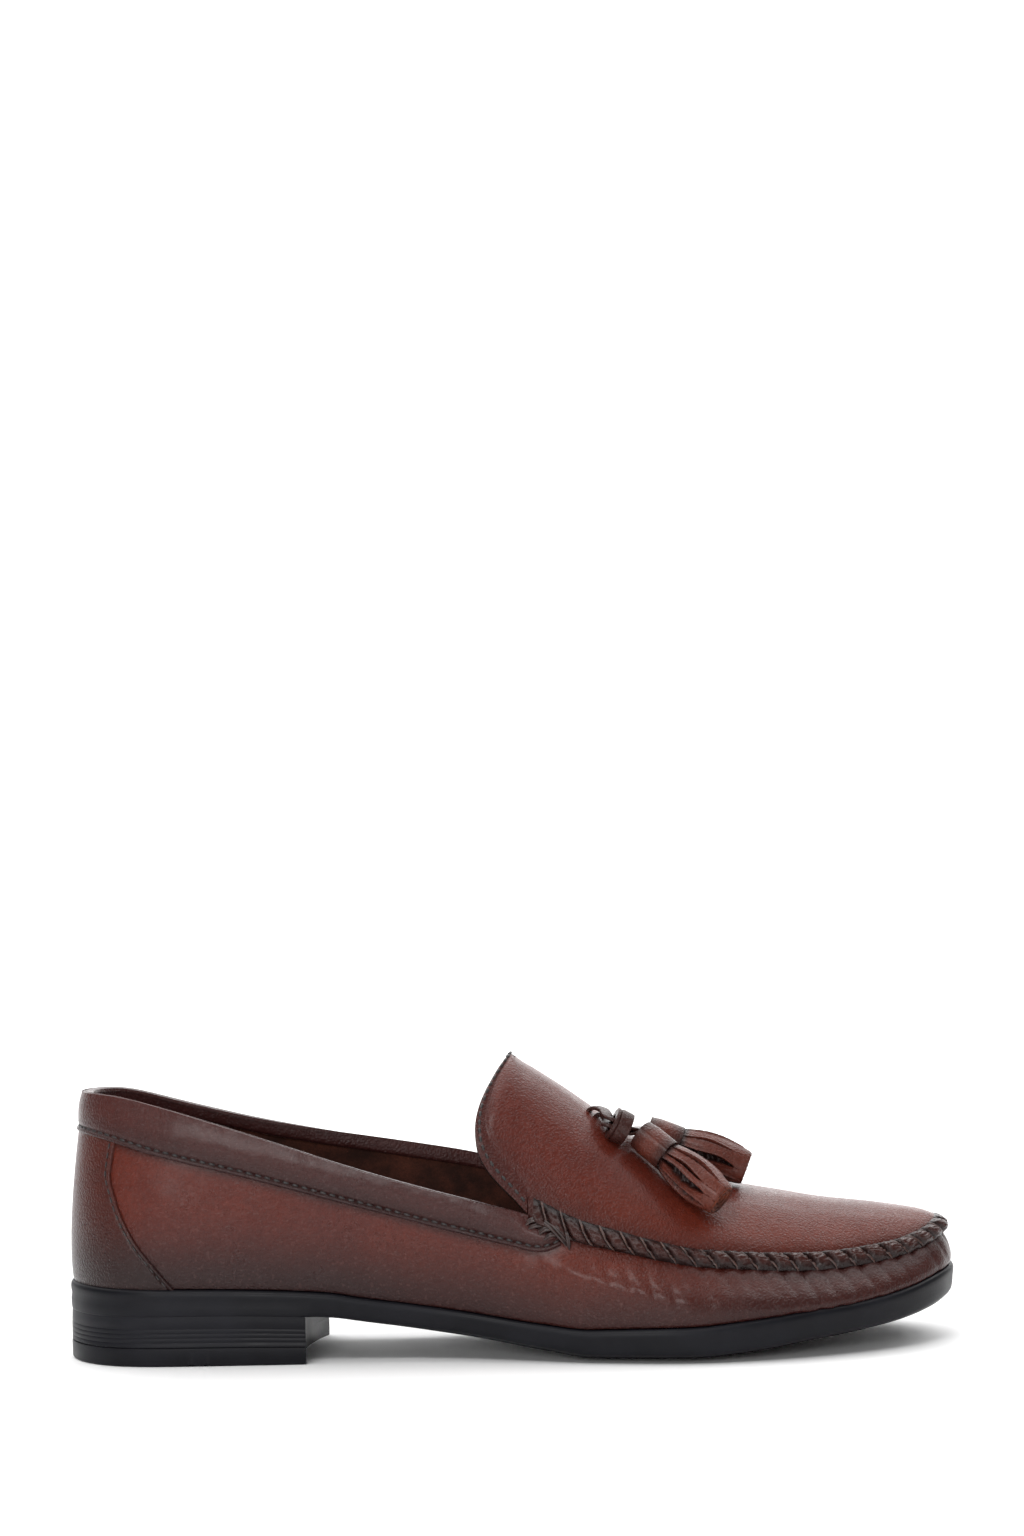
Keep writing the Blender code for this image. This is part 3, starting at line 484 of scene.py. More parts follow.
def grid_normals(points):
    """Unit normals of a grid, on the side that faces out when rows rise and columns run anticlockwise."""
    normal = np.cross(np.gradient(points, axis=1), np.gradient(points, axis=0))
    length = np.linalg.norm(normal, axis=-1, keepdims=True)
    normal = normal / np.maximum(length, 1e-12)
    for row in (0, -1):
        if length[row].max() < 1e-9:
            normal[row] = normal[row + 1 if row == 0 else row - 1]
    return normal


class Pieces:
    """Points and faces of one mesh, gathered part by part, with a few numbers kept for each point."""

    def __init__(self):
        self.points = []
        self.faces = []
        self.slots = []
        self.marks = {}
        self.count = 0

    def add(self, points, faces, slot=0, **marks):
        points = np.asarray(points, float).reshape(-1, 3)
        faces = np.asarray(faces)
        for name, values in marks.items():
            self.marks.setdefault(name, []).append((self.count, np.broadcast_to(values, (len(points),))))
        self.points.append(points)
        self.faces.append(faces + self.count)
        self.slots.append(np.full(len(faces), slot))
        self.count += len(points)

    def add_grid(self, points, slot=0, closed=False, flip=False, **marks):
        rows, columns = points.shape[:2]
        flat = {name: np.broadcast_to(values, (rows, columns)).reshape(-1) for name, values in marks.items()}
        self.add(points, grid(rows, columns, closed, flip), slot, **flat)

    def build(self, name, materials, weld=0.0, sharp=60.0):
        """One object of all that was gathered, riding on the shoe."""
        mesh = bpy.data.meshes.new(name)
        faces = [face.tolist() for group in self.faces for face in group]
        mesh.from_pydata(np.concatenate(self.points).tolist(), [], faces)
        for mark, values in self.marks.items():
            held = np.zeros(self.count, np.float32)
            for first, part in values:
                held[first : first + len(part)] = part
            attribute = mesh.attributes.new(mark, "FLOAT", "POINT")
            attribute.data.foreach_set("value", held)
        mesh.polygons.foreach_set("material_index", np.concatenate(self.slots).astype(np.int32))
        for material in materials:
            mesh.materials.append(material)
        if weld:
            edit = bmesh.new()
            edit.from_mesh(mesh)
            bmesh.ops.remove_doubles(edit, verts=edit.verts, dist=weld)
            edit.to_mesh(mesh)
            edit.free()
        mesh.shade_smooth()
        mesh.set_sharp_from_angle(angle=math.radians(sharp))
        obj = bpy.data.objects.new(name, mesh)
        bpy.context.scene.collection.objects.link(obj)
        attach(obj, "root")
        return obj


def along_path(points, count):
    """Evenly placed points on a smooth curve through the given ones."""
    points = np.array(points, float)
    marks = marks_along(points)
    wanted = np.linspace(0, marks[-1], count)
    return np.stack([smooth(wanted, marks, points[:, i]) for i in range(3)], axis=1)


def frames_along(path, up):
    """Unit tangents, and two directions square to them, at the points of a path."""
    tangent = unit(np.gradient(path, axis=0))
    side = unit(np.cross(tangent, up))
    return tangent, side, np.cross(side, tangent)


def tube(path, up, across, over, sides=8):
    """Grid round a path: an oval section with its half sizes across and over, which may vary along it."""
    count = len(path)
    _, side, lift = frames_along(path, up)
    angles = np.arange(sides) * FULL_TURN / sides
    across = np.broadcast_to(across, (count,)).astype(float)
    over = np.broadcast_to(over, (count,)).astype(float)
    path, side, lift = (np.concatenate([row[:1], row, row[-1:]]) for row in (path, side, lift))
    across, over = (np.concatenate([[0.0], row, [0.0]]) for row in (across, over))
    round_side = side[:, None, :] * (across[:, None] * np.cos(angles))[..., None]
    round_lift = lift[:, None, :] * (over[:, None] * np.sin(angles))[..., None]
    return path[:, None, :] + round_side + round_lift


def bump_row(pieces, centres, along, out, length, width, height, slot):
    """A row of short raised threads: each is a lens-shaped dome with its own direction."""
    u = np.linspace(-1, 1, 6)
    angles = np.linspace(0, math.pi, 8)
    for centre, direction, normal in zip(centres, along, out):
        side = unit(np.cross(direction, normal))
        shape = np.sqrt(np.clip(1 - u**4, 0, 1))
        line = centre + direction * (u * length / 2)[:, None]
        ring = (
            line[:, None, :]
            + side * (np.cos(angles)[None, :] * shape[:, None] * width / 2)[..., None]
            + normal * (np.sin(angles)[None, :] * shape[:, None] * height)[..., None]
        )
        pieces.add_grid(ring, slot)


def even_turns(start, end, spacing, ring=None):
    """Turns at even distances along the top ring."""
    fine = np.linspace(start, end, 4001)
    line = (ring or top_ring)(fine)
    marks = marks_along(line)
    count = int(round(marks[-1] / spacing))
    return np.interp(np.linspace(0, marks[-1], count + 1), marks, fine)


def marks_along(line):
    """Distance along a line to each of its points."""
    return np.concatenate([[0], np.cumsum(np.linalg.norm(np.diff(line, axis=0), axis=1))])


def hump(x, middle, width):
    """1 at the middle, falling softly to both sides."""
    return np.exp(-(((x - middle) / width) ** 2))


def fade(x, low, high):
    """0 below low, 1 over high, and smooth between them."""
    t = np.clip((x - low) / (high - low), 0, 1)
    return t * t * (3 - 2 * t)


def wave_noise(points, size, seed, octaves=3):
    """Smooth irregular number, about -1 to 1, for each point: a sum of waves in fixed random directions."""
    random = np.random.default_rng(seed)
    total = np.zeros(points.shape[:-1])
    weight = 1.0
    for _ in range(octaves):
        for _ in range(4):
            direction = unit(random.normal(size=3)) * (FULL_TURN / size)
            total += weight * np.sin(points @ direction + random.uniform(0, FULL_TURN))
        size /= 2.1
        weight /= 2
    return total / 4.5


def rgb(red, green, blue):
    """Linear colour of one given in 0 to 255 sRGB."""
    values = []
    for value in (red, green, blue):
        c = value / 255
        values.append(c / 12.92 if c <= 0.04045 else ((c + 0.055) / 1.055) ** 2.4)
    return (*values, 1.0)


class Nodes:
    """Small helper to build a material's nodes."""

    def __init__(self, name):
        self.material = bpy.data.materials.new(name)
        self.material.use_nodes = True
        self.tree = self.material.node_tree
        self.shader = self.tree.nodes["Principled BSDF"]
        self.place = self.new("ShaderNodeTexCoord").outputs["Object"]

    def new(self, kind, **settings):
        node = self.tree.nodes.new(kind)
        for key, value in settings.items():
            setattr(node, key, value)
        return node

    def link(self, output, socket):
        self.tree.links.new(output, socket)

    def feed(self, socket, value):
        if hasattr(value, "is_output"):
            self.link(value, socket)
        else:
            socket.default_value = value

    def noise(self, scale, detail=3.0, roughness=0.5, stretch=None):
        node = self.new("ShaderNodeTexNoise")
        node.inputs["Scale"].default_value = scale
        node.inputs["Detail"].default_value = detail
        node.inputs["Roughness"].default_value = roughness
        self.link(self.stretched(stretch), node.inputs["Vector"])
        return node.outputs["Fac"]

    def cells(self, scale):
        node = self.new("ShaderNodeTexVoronoi")
        node.inputs["Scale"].default_value = scale
        self.link(self.place, node.inputs["Vector"])
        return node.outputs["Distance"]

    def stretched(self, stretch):
        if stretch is None:
            return self.place
        node = self.new("ShaderNodeMapping")
        node.inputs["Scale"].default_value = stretch
        self.link(self.place, node.inputs["Vector"])
        return node.outputs["Vector"]

    def mark(self, name):
        node = self.new("ShaderNodeAttribute", attribute_name=name)
        return node.outputs["Fac"]

    def ramp(self, value, low, high, start=0.0, end=1.0):
        """Value taken from low to high onto start to end."""
        node = self.new("ShaderNodeMapRange", interpolation_type="SMOOTHSTEP")
        self.feed(node.inputs["Value"], value)
        node.inputs["From Min"].default_value = low
        node.inputs["From Max"].default_value = high
        node.inputs["To Min"].default_value = start
        node.inputs["To Max"].default_value = end
        return node.outputs["Result"]

    def math(self, operation, a, b=0.0, clamp=False):
        node = self.new("ShaderNodeMath", operation=operation, use_clamp=clamp)
        self.feed(node.inputs[0], a)
        self.feed(node.inputs[1], b)
        return node.outputs["Value"]

    def mix(self, share, a, b):
        """Colour between a and b."""
        node = self.new("ShaderNodeMix", data_type="RGBA")
        self.feed(node.inputs["Factor"], share)
        self.feed(node.inputs["A"], a)
        self.feed(node.inputs["B"], b)
        return node.outputs["Result"]

    def bump(self, height, distance, strength=1.0, under=None):
        node = self.new("ShaderNodeBump")
        node.inputs["Strength"].default_value = strength
        node.inputs["Distance"].default_value = distance
        self.link(height, node.inputs["Height"])
        if under is not None:
            self.link(under, node.inputs["Normal"])
        return node.outputs["Normal"]

    def finish(self, colour, roughness, normal=None, coat=0.0, coat_roughness=0.2, specular=0.5, sheen=0.0):
        shader = self.shader
        self.feed(shader.inputs["Base Color"], colour)
        self.feed(shader.inputs["Roughness"], roughness)
        shader.inputs["Coat Weight"].default_value = coat
        shader.inputs["Coat Roughness"].default_value = coat_roughness
        shader.inputs["Specular IOR Level"].default_value = specular
        shader.inputs["Sheen Weight"].default_value = sheen
        if normal is not None:
            self.link(normal, shader.inputs["Normal"])
        return self.material


# Noise and cell sizes of the leather, per metre
CLOUDS = 11
MOTTLES = 140
GRAIN_CELLS = 1300
GRAIN_CREASES = 1200
PORES = 620
FLECKS = 800
SWELLS = 90
POLISH = 60
EDGE_SHADE = 0.008  # metres that the dark of an edge reaches
FOOT_SHADE = 0.027  # metres that the dark over the sole reaches
FLECK_SHARE = 0.16


def burnished_and_shaded_leather(name, bright, plain, dark, grain=0.00022, gloss=0.26, coat=0.15, low_dark=1.0, edge_dark=0.6):
    """Fine-grained leather, warmer in its fields and darker at its edges, seams and towards the sole: partly a
    burnished finish, partly painted shade in crevices, under the collar band and near the sole.
    """
    n = Nodes(name)
    cloud = n.noise(CLOUDS, 3, 0.5)
    fine = n.noise(MOTTLES, 3, 0.6)
    colour = n.mix(n.ramp(cloud, 0.30, 0.70), plain, bright)
    # The dark at edges and seams is burnish and painted shade; the dark towards the sole is painted shade.
    edge = n.ramp(n.mark("down"), 0.0, EDGE_SHADE, edge_dark, 0.0)
    foot = n.ramp(n.mark("low"), 0.0, FOOT_SHADE, low_dark, 0.0)
    shade = n.math("ADD", edge, foot, clamp=True)
    shade = n.math("MULTIPLY", shade, n.ramp(cloud, 0.2, 0.8, 1.1, 0.85), clamp=True)
    colour = n.mix(shade, colour, dark)
    colour = n.mix(n.ramp(fine, 0.25, 0.75, 0.14, 0.0), colour, dark)
    pebbles = n.ramp(n.cells(GRAIN_CELLS), 0.05, 0.75, 1.0, 0.0)
    creases = n.noise(GRAIN_CREASES, 1, 0.6)
    height = n.math("ADD", n.math("MULTIPLY", pebbles, 0.6), n.math("MULTIPLY", creases, 1.1))
    # Pale flecks that paint the grain's glints, and dark pores between.
    pores = n.ramp(n.noise(PORES, 2, 0.5), 0.34, 0.66)
    colour = n.mix(n.math("MULTIPLY", n.math("SUBTRACT", 1.0, pores), FLECK_SHARE), colour, dark)
    glint_colour = (*(0.10 + 1.15 * c for c in bright[:3]), 1.0)
    colour = n.mix(n.ramp(n.noise(FLECKS, 2, 0.5), 0.58, 0.72, 0.0, FLECK_SHARE * 0.55), colour, glint_colour)
    soft = n.bump(n.noise(SWELLS, 3, 0.5), 0.00012, 0.5)
    normal = n.bump(height, grain, 1.0, under=soft)
    polish = n.ramp(n.noise(POLISH, 4, 0.6), 0.3, 0.7, gloss, gloss + 0.07)
    rough = n.math("ADD", polish, n.math("MULTIPLY", pores, 0.06))
    return n.finish(colour, rough, normal, coat=coat, coat_roughness=0.20, specular=0.18)


def suede(name, base, dark):
    n = Nodes(name)
    cloud = n.noise(120, 4, 0.6)
    nap = n.noise(1500, 3, 0.65)
    colour = n.mix(n.ramp(cloud, 0.3, 0.7), dark, base)
    colour = n.mix(n.ramp(nap, 0.3, 0.7, 0.45, 0.0), colour, dark)
    normal = n.bump(nap, 0.0004, 1.0)
    return n.finish(colour, 0.95, normal, specular=0.1, sheen=0.1)


def thread_material(name, base, tip, roughness):
    n = Nodes(name)
    ply = n.noise(1400, 3, 0.6, stretch=(1.0, 1.0, 0.5))
    colour = n.mix(n.ramp(ply, 0.35, 0.65), base, tip)
    normal = n.bump(ply, 0.00015, 0.8)
    return n.finish(colour, roughness, normal, coat=0.15, coat_roughness=0.3)


def sole_rubber(name, base, scuff):
    """Black sole: fine pores and faint drag lines along its length."""
    n = Nodes(name)
    pores = n.noise(1100, 3, 0.6)
    drag = n.noise(300, 3, 0.6, stretch=(0.15, 0.15, 2.2))
    cloud = n.noise(40, 4, 0.55)
    colour = n.mix(n.ramp(cloud, 0.35, 0.75, 0.0, 0.6), base, scuff)
    height = n.math("ADD", n.math("MULTIPLY", pores, 0.6), n.math("MULTIPLY", drag, 0.9))
    normal = n.bump(height, 0.00007, 0.6)
    gloss = n.ramp(cloud, 0.3, 0.7, 0.34, 0.5)
    return n.finish(colour, gloss, normal, coat=0.0, specular=0.16)


# Where the hand stitches of the apron's seam lie
STITCH_PITCH = 0.0068
STITCH_SLANT = 0.72  # how far a stitch runs along the seam, as a share of the pitch
PUCKER_DEPTH = 0.00040
PUCKER_REACH = 0.0125  # how far down the wall the puckers run
PUCKER_LEAN = 0.55  # how far the folds lean, in stitches
PUCKER_CREASE = 0.00030  # sharp line in the middle of a fold
RIDGE_HEIGHT = 0.00100  # soft ridge under the folds
RIDGE_DOWN = 0.0125
RIDGE_SPREAD = 0.0042
SEAM_PULL = 0.0007  # how much the seam draws the wall in
LINING_TOP = 0.0052  # rolled edge over the lining, inside the collar


def seam_marks():
    """Turns along the apron's seam and the distance from the throat's outer corner to each."""
    throat = float(turn_of(THROAT))
    turns = np.linspace(throat, FULL_TURN - throat, 6001)
    line = top_ring(turns)
    marks = marks_along(line)
    return turns, marks


SEAM_TURNS, SEAM_MARKS = seam_marks()
SEAM_LENGTH = SEAM_MARKS[-1]
STITCHES = int(round(SEAM_LENGTH / STITCH_PITCH))


def seam_phase(turn):
    """Number of stitches from the throat's outer corner; they count from both corners to the toe."""
    return np.interp(turn, SEAM_TURNS, SEAM_MARKS) / SEAM_LENGTH * STITCHES


def turn_at_phase(phase):
    return np.interp(np.asarray(phase, float) / STITCHES * SEAM_LENGTH, SEAM_MARKS, SEAM_TURNS)


def valley(phase, width):
    """1 on a stitch and 0 between two, with soft sides."""
    away = np.abs(phase - np.round(phase))
    return hump(away, 0, width)


def irregular(index, seed):
    """A fixed random share, -1 to 1, for each whole number."""
    values = np.random.default_rng(seed).uniform(-1, 1, 400)
    return values[np.asarray(index, int) % 400]


def wall_height(turn):
    return top_ring(turn)[..., 2] - foot_ring(turn)[..., 2]


def puckers(turn, level):
    """Displacement of the wall's leather where the hand stitches gather it."""
    depth = (1 - level) * wall_height(turn)
    # The folds lean back towards the heel as they run down the outer side, and mirror on the inner side.
    lean = side_of(turn) * fade(depth, 0.002, 0.016) * PUCKER_LEAN
    phase = seam_phase(turn) - STITCH_SLANT / 2 * side_of(turn) + lean
    near = np.round(phase)
    away = np.abs(phase - near)
    from_corner = np.minimum(seam_phase(turn), STITCHES - seam_phase(turn))
    to_toe = fade(np.abs(seam_phase(turn) - STITCHES / 2) / STITCHES, 0.0, 0.30)
    inside = (np.mod(turn, FULL_TURN) > SEAM_TURNS[0]) & (np.mod(turn, FULL_TURN) < SEAM_TURNS[-1])
    reach = PUCKER_REACH * (1 + 0.30 * irregular(near, 3)) * (0.75 + 0.25 * to_toe)
    strength = np.exp(-((depth / reach) ** 2.2)) * (1 + 0.5 * irregular(near, 4))
    fold = hump(away, 0, 0.20 + 0.06 * to_toe)
    crease = PUCKER_CREASE * hump(away, 0, 0.055) * hump(depth, 0, reach * 0.8)
    # A long soft ridge runs under the folds and lifts between them.
    ridge = RIDGE_HEIGHT * hump(depth, RIDGE_DOWN, RIDGE_SPREAD) * (0.25 + 0.75 * to_toe)
    between = fade(0.5 - np.abs(phase - np.floor(phase) - 0.5), 0, 0.4)
    ridge = ridge * (1 + 0.40 * irregular(np.floor(phase), 9) * between)
    pull = SEAM_PULL * hump(depth, 0, 0.0030)
    rise = fade(from_corner, 3.0, 13.0)
    folds = rise * (PUCKER_DEPTH * strength * fold + crease)
    return np.where(inside, fade(from_corner, 0.2, 2.5) * ridge - folds - pull, 0.0)


def soft_waves(points, seed, size, amount):
    return amount * wave_noise(points, size, seed)


def wall_skin(turn, level):
    """Grid of the wall's leather, level by level, with its soft irregularities."""
    base = wall(turn, level)
    normal = grid_normals(base)
    height = puckers(turn, level)
    edge = fade(level, 0.0, 0.12) * fade(1 - level, 0.0, 0.12)
    height = height + soft_waves(base, 11, 0.050, 0.00022) * edge + soft_waves(base, 12, 0.017, 0.00007) * edge
    return base + normal * height[..., None], normal


BACK_STEP = 0.00125  # spacing of the wall's columns behind the throat
SEAM_STEP = 0.00062  # and along the seam


def wall_grid():
    """Turns and levels of the wall's leather, closer together where the stitches gather it."""
    throat = SEAM_TURNS[0]
    back = even_turns(0, throat, BACK_STEP)
    front = even_turns(throat, FULL_TURN - throat, SEAM_STEP)
    turns = np.concatenate([back[:-1], front, (FULL_TURN - back[::-1])[1:]])
    levels = 1 - (1 - np.linspace(0, 1, 58)) ** 1.25
    return np.meshgrid(turns, levels)


def mark_levels(turn, level):
    """How far up the wall a point is and how far under its top edge, in metres."""
    height = wall_height(turn)
    return level * height, (1 - level) * height


APRON_COLUMNS = 145


def apron_skin():
    """Grid of the apron and tongue from the toe to the tongue's tip, its normals and its distances to the edges."""
    toe = np.pi - 0.012
    front = even_turns(SEAM_TURNS[0], toe, 0.0009)[::-1]
    across = np.sin(np.linspace(-1, 1, APRON_COLUMNS) * math.pi / 2 * 0.86) / math.sin(math.pi / 2 * 0.86)
    reaches = np.linspace(0, 1, 90)[1:]
    base = np.concatenate([apron(front[:, None], across[None, :]), tongue(reaches[:, None], across[None, :])])
    normal = grid_normals(base)
    half = np.linalg.norm(base[:, -1] - base[:, 0], axis=-1) / 2
    edge = half[:, None] * (1 - np.abs(across))[None, :]
    on_apron_rows = (np.arange(len(base)) < len(front))[:, None]
    # Groove of the tongue's stitches, and the lip between it and the edge
    groove = -0.00035 * hump(edge, 0.0030, 0.0008) + 0.00025 * hump(edge, 0.0014, 0.0009)
    height = np.where(on_apron_rows, -0.0009 * hump(edge, 0, 0.0022), groove)
    calm = fade(edge, 0.0, 0.008)
    height = height + calm * (soft_waves(base, 21, 0.060, 0.00025) + soft_waves(base, 22, 0.020, 0.00008))
    return base + normal * height[..., None], normal, edge, len(front)


def tongue_rim(points, normal, row_from):
    """Rounded free edge of the tongue on both sides, and the underside as far as the throat."""
    rims = []
    for column, next_column in ((0, 1), (-1, -2)):
        edge = points[row_from:, column]
        out = normal[row_from:, column]
        away = unit(edge - points[row_from:, next_column] + 1e-12)
        away[-1] = away[-2]
        middle = edge - out * WALL / 2
        angles = np.linspace(math.pi / 2, -math.pi / 2, 9)
        ring = (
            middle[None]
            + away[None] * (np.cos(angles)[:, None, None] * WALL * 0.15)
            + out[None] * (np.sin(angles)[:, None, None] * WALL / 2)
        )
        rims.append(ring)
    return rims


BAND_END = float(turn_of(BAND[-1, 0]))
BAND_SHADOW_STEEP = 2.2  # painted shadow under the band: how much faster it fades than the dark at a free edge


def make_upper(leather, edge_leather, suede):
    pieces = Pieces()
    turn, level = wall_grid()
    points, normal = wall_skin(turn, level)
    low, down = mark_levels(turn, level)
    # Painted shadow on the wall just under the collar band's lower edge; the wall also darkens towards the sole,
    # painted shade.
    band_shadow = down - (1 - band_level(turn, 1)) * wall_height(turn)
    banded = folded(turn) < BAND_END
    down = np.where(banded, np.maximum(band_shadow, 0) * BAND_SHADOW_STEEP, down)
    pieces.add_grid(points, 0, low=low, down=down)
    points, normal, edge, rows = apron_skin()
    from_sole = np.full(points.shape[:2], 0.05)
    pieces.add_grid(points, 0, low=from_sole, down=edge)
    under = points - normal * WALL
    for index, ring in enumerate(tongue_rim(points, normal, rows - 1)):
        pieces.add_grid(ring, 1, flip=index == 1, low=0.05, down=0.0)
    pieces.add_grid(under[:, ::3], 2, flip=True, low=0.05, down=0.02)
    obj = pieces.build("upper_leather", [leather, edge_leather, suede])
    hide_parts("upper")
    return obj


def make_lining(suede):
    """Inner face of the wall, from the sole to the rolled edge of the collar."""
    pieces = Pieces()
    turns = even_turns(0, FULL_TURN, 0.0025)
    turn, share = np.meshgrid(turns, np.linspace(0, 1, 26))
    height = wall_height(turn)
    inside = (turn > SEAM_TURNS[0]) & (turn < SEAM_TURNS[-1])
    top = np.where(inside, 1.0, 1 - (LINING_TOP - 0.0012) / height)
    level = 0.02 + (top - 0.02) * share
    base = wall(turn, level)
    normal = grid_normals(base)
    points = base - normal * WALL + normal * (soft_waves(base, 31, 0.03, 0.00025))[..., None]
    pieces.add_grid(points, 0, flip=True, low=level * height, down=(1 - level) * height)
    obj = pieces.build("lining", [suede])
    return obj


BAND_STITCH_PITCH = 0.00315
BAND_STITCH_LENGTH = 0.0024
BAND_STITCH_INSET = 0.0016  # from the band's lower edge
BAND_STITCH_LIFT = 0.00056
TONGUE_STITCH_INSET = 0.0030
TONGUE_STITCH_PITCH = 0.0031
COUNTER_STRIP = 0.0017
COUNTER_STITCH_LIFT = 0.00050
COUNTER_STITCHES_AT = COUNTER_STRIP * 1.25

# Inner turn of the band's roll: metres under the top and over the lining's face
ROLL_INSIDE = (
    (0.0, 0.0009),
    (0.0012, 0.0010),
    (0.0026, 0.0010),
    (0.0040, 0.0009),
    (0.0048, 0.0006),
    (0.0052, -0.0002),
)


def band_level(turn, index):
    depth = BAND_WIDTH * column(BAND, share_of(folded(turn)), index)
    return 1 - depth / wall_height(turn)


def wall_point(turn, level, lift):
    """Point over the wall's leather, with the wall's own unit normal."""
    step = 0.002
    along = wall(turn + step, level) - wall(turn - step, level)
    up = wall(turn, np.minimum(level + step, 1)) - wall(turn, np.maximum(level - step, 0))
    normal = unit(np.cross(along, up))
    return wall(turn, level) + normal * np.asarray(lift)[..., None], normal


def row_of_stitches(pieces, line, normal, pitch, length, width, height, slot):
    """Even stitches along a line that lies on a surface."""
    marks = marks_along(line)
    count = int(marks[-1] / pitch)
    at = (np.arange(count) + 0.5) * marks[-1] / count
    centres = np.stack([np.interp(at, marks, line[:, i]) for i in range(3)], axis=1)
    ahead = np.stack([np.interp(at + 0.0004, marks, line[:, i]) for i in range(3)], axis=1)
    out = unit(np.stack([np.interp(at, marks, normal[:, i]) for i in range(3)], axis=1))
    bump_row(pieces, centres, unit(ahead - centres + 1e-12), out, length, width, height, slot)


def make_band(leather, thread):
    """Collar band: leather outside, rolled over the topline and a little way down inside."""
    throat = SEAM_TURNS[0]
    end = float(turn_of(BAND[-1, 0]))
    back = even_turns(0, throat, 0.0010)
    front = np.linspace(throat, end, 46)[1:]
    half = np.concatenate([back, front])
    turns = np.concatenate([-half[:0:-1], half])
    low = band_level(turns, 1)
    high = band_level(turns, 2)
    height = wall_height(turns)
    pieces = Pieces()
    # Outside: lower edge turned in, groove of the stitch row, then the field up to the top.
    outer = [
        # metres over the lower edge, height over the wall
        (0.0000, -0.0001),
        (-0.0002, 0.0005),
        (0.0000, 0.0011),
        (0.0004, 0.0015),
        (0.0008, 0.0015),
        (0.0013, 0.0008),
        (0.0017, 0.0005),
        (0.0021, 0.0008),
        (0.0028, 0.0012),
    ]
    rows = []
    for over, lift in outer:
        rows.append(wall_point(turns, np.minimum(low + over / height, 1), lift)[0])
    start = low + outer[-1][0] / height
    for step in np.linspace(0, 0.97, 16)[1:]:
        crown = outer[-1][1] + 0.0005 * math.sin(math.pi * step)
        rows.append(wall_point(turns, start * (1 - step) + high * step, crown)[0])
    points = np.array(rows)
    normal = grid_normals(points)
    calm = np.linspace(0, 1, len(rows))[:, None]
    waves = normal * soft_waves(points, 41, 0.014, 0.00012)[..., None] * fade(calm, 0.3, 0.5)[..., None]
    points[len(outer) :] += waves[len(outer) :]
    # Darker towards the band's lower edge, where it turns in: the edge's own dark and painted shade.
    under = np.array([r[0] for r in outer] + list(np.linspace(outer[-1][0], 0.012, 15)))[:, None]
    pieces.add_grid(points, 0, low=0.03, down=under)
    # Roll over the topline and the inner turn, behind the throat only.
    inside = (turns >= -throat - 1e-9) & (turns <= throat + 1e-9)
    top, top_normal = wall_point(turns[inside], np.ones(inside.sum()), 0.0)
    edge = points[-1][inside]
    up = np.array([0, 0, 1.0])
    crest = top - top_normal * WALL / 2 - up * 0.0011
    roll = [edge]
    for angle in np.linspace(10, 170, 11):
        a = math.radians(angle)
        roll.append(crest + top_normal * ((WALL / 2 + 0.0012) * math.cos(a)) + up * (0.0011 * math.sin(a)))
    for drop, lift in ROLL_INSIDE:
        level = 1 - drop / height[inside]
        place, out = wall_point(turns[inside], level, 0.0)
        roll.append(place - out * (WALL + lift))
    roll = np.array(roll)
    pieces.add_grid(roll, 0, low=0.03, down=0.006)
    line, out = wall_point(turns, low + BAND_STITCH_INSET / height, BAND_STITCH_LIFT)
    row_of_stitches(pieces, line, out, BAND_STITCH_PITCH, BAND_STITCH_LENGTH, 0.00105, 0.00045, 1)
    obj = pieces.build("collar_leather", [leather, thread], weld=1e-6)
    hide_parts("collar_band")
    return obj


def counter_edge(level):
    return turn_of(level_curve(level, COUNTER[:, 0], COUNTER[:, 1]))


def make_counter(leather, thread):
    """Counter panel at the heel's back, with a raised strip and a row of stitches along each front edge."""
    steps = np.linspace(0.0, 1, 60)[:, None]
    spread = np.linspace(-1, 1, 121)[None, :]
    spread = np.sign(spread) * (1 - (1 - np.abs(spread)) ** 1.6)
    nominal = steps * COUNTER[-1, 0]
    turns = spread * counter_edge(nominal)
    levels = steps * (band_level(turns, 1) + 0.02)
    length = np.linalg.norm(np.diff(top_ring(turns), axis=1), axis=-1)
    marks = np.concatenate([np.zeros((len(steps), 1)), np.cumsum(length, axis=1)], axis=1)
    to_edge = np.minimum(marks, marks[:, -1:] - marks)
    round_strip = np.sin(np.clip(to_edge / COUNTER_STRIP, 0, 1) * math.pi)
    strip = np.where(to_edge < COUNTER_STRIP, 0.00035 * round_strip, 0.0)
    groove = -0.00040 * hump(to_edge, COUNTER_STITCHES_AT, 0.00045)
    lift = 0.0007 * fade(to_edge, -0.0001, 0.00035) + strip + groove
    points, normal = wall_point(turns, levels, lift)
    pieces = Pieces()
    pieces.add_grid(points, 0, low=levels * wall_height(turns), down=0.012)
    for side in (-1, 1):
        nominal = np.linspace(0.01, 0.97, 90)
        edge_turn = side * counter_edge(nominal * COUNTER[-1, 0])
        pace = np.linalg.norm(top_ring(edge_turn + 0.01) - top_ring(edge_turn), axis=-1) / 0.01
        inset = COUNTER_STITCHES_AT / pace
        at = edge_turn - side * inset
        line, out = wall_point(at, nominal * (band_level(at, 1) + 0.02), COUNTER_STITCH_LIFT)
        row_of_stitches(pieces, line, out, 0.0029, 0.0022, 0.0006, 0.00028, 1)
    obj = pieces.build("counter_leather", [leather, thread])
    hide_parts("heel_counter")
    return obj


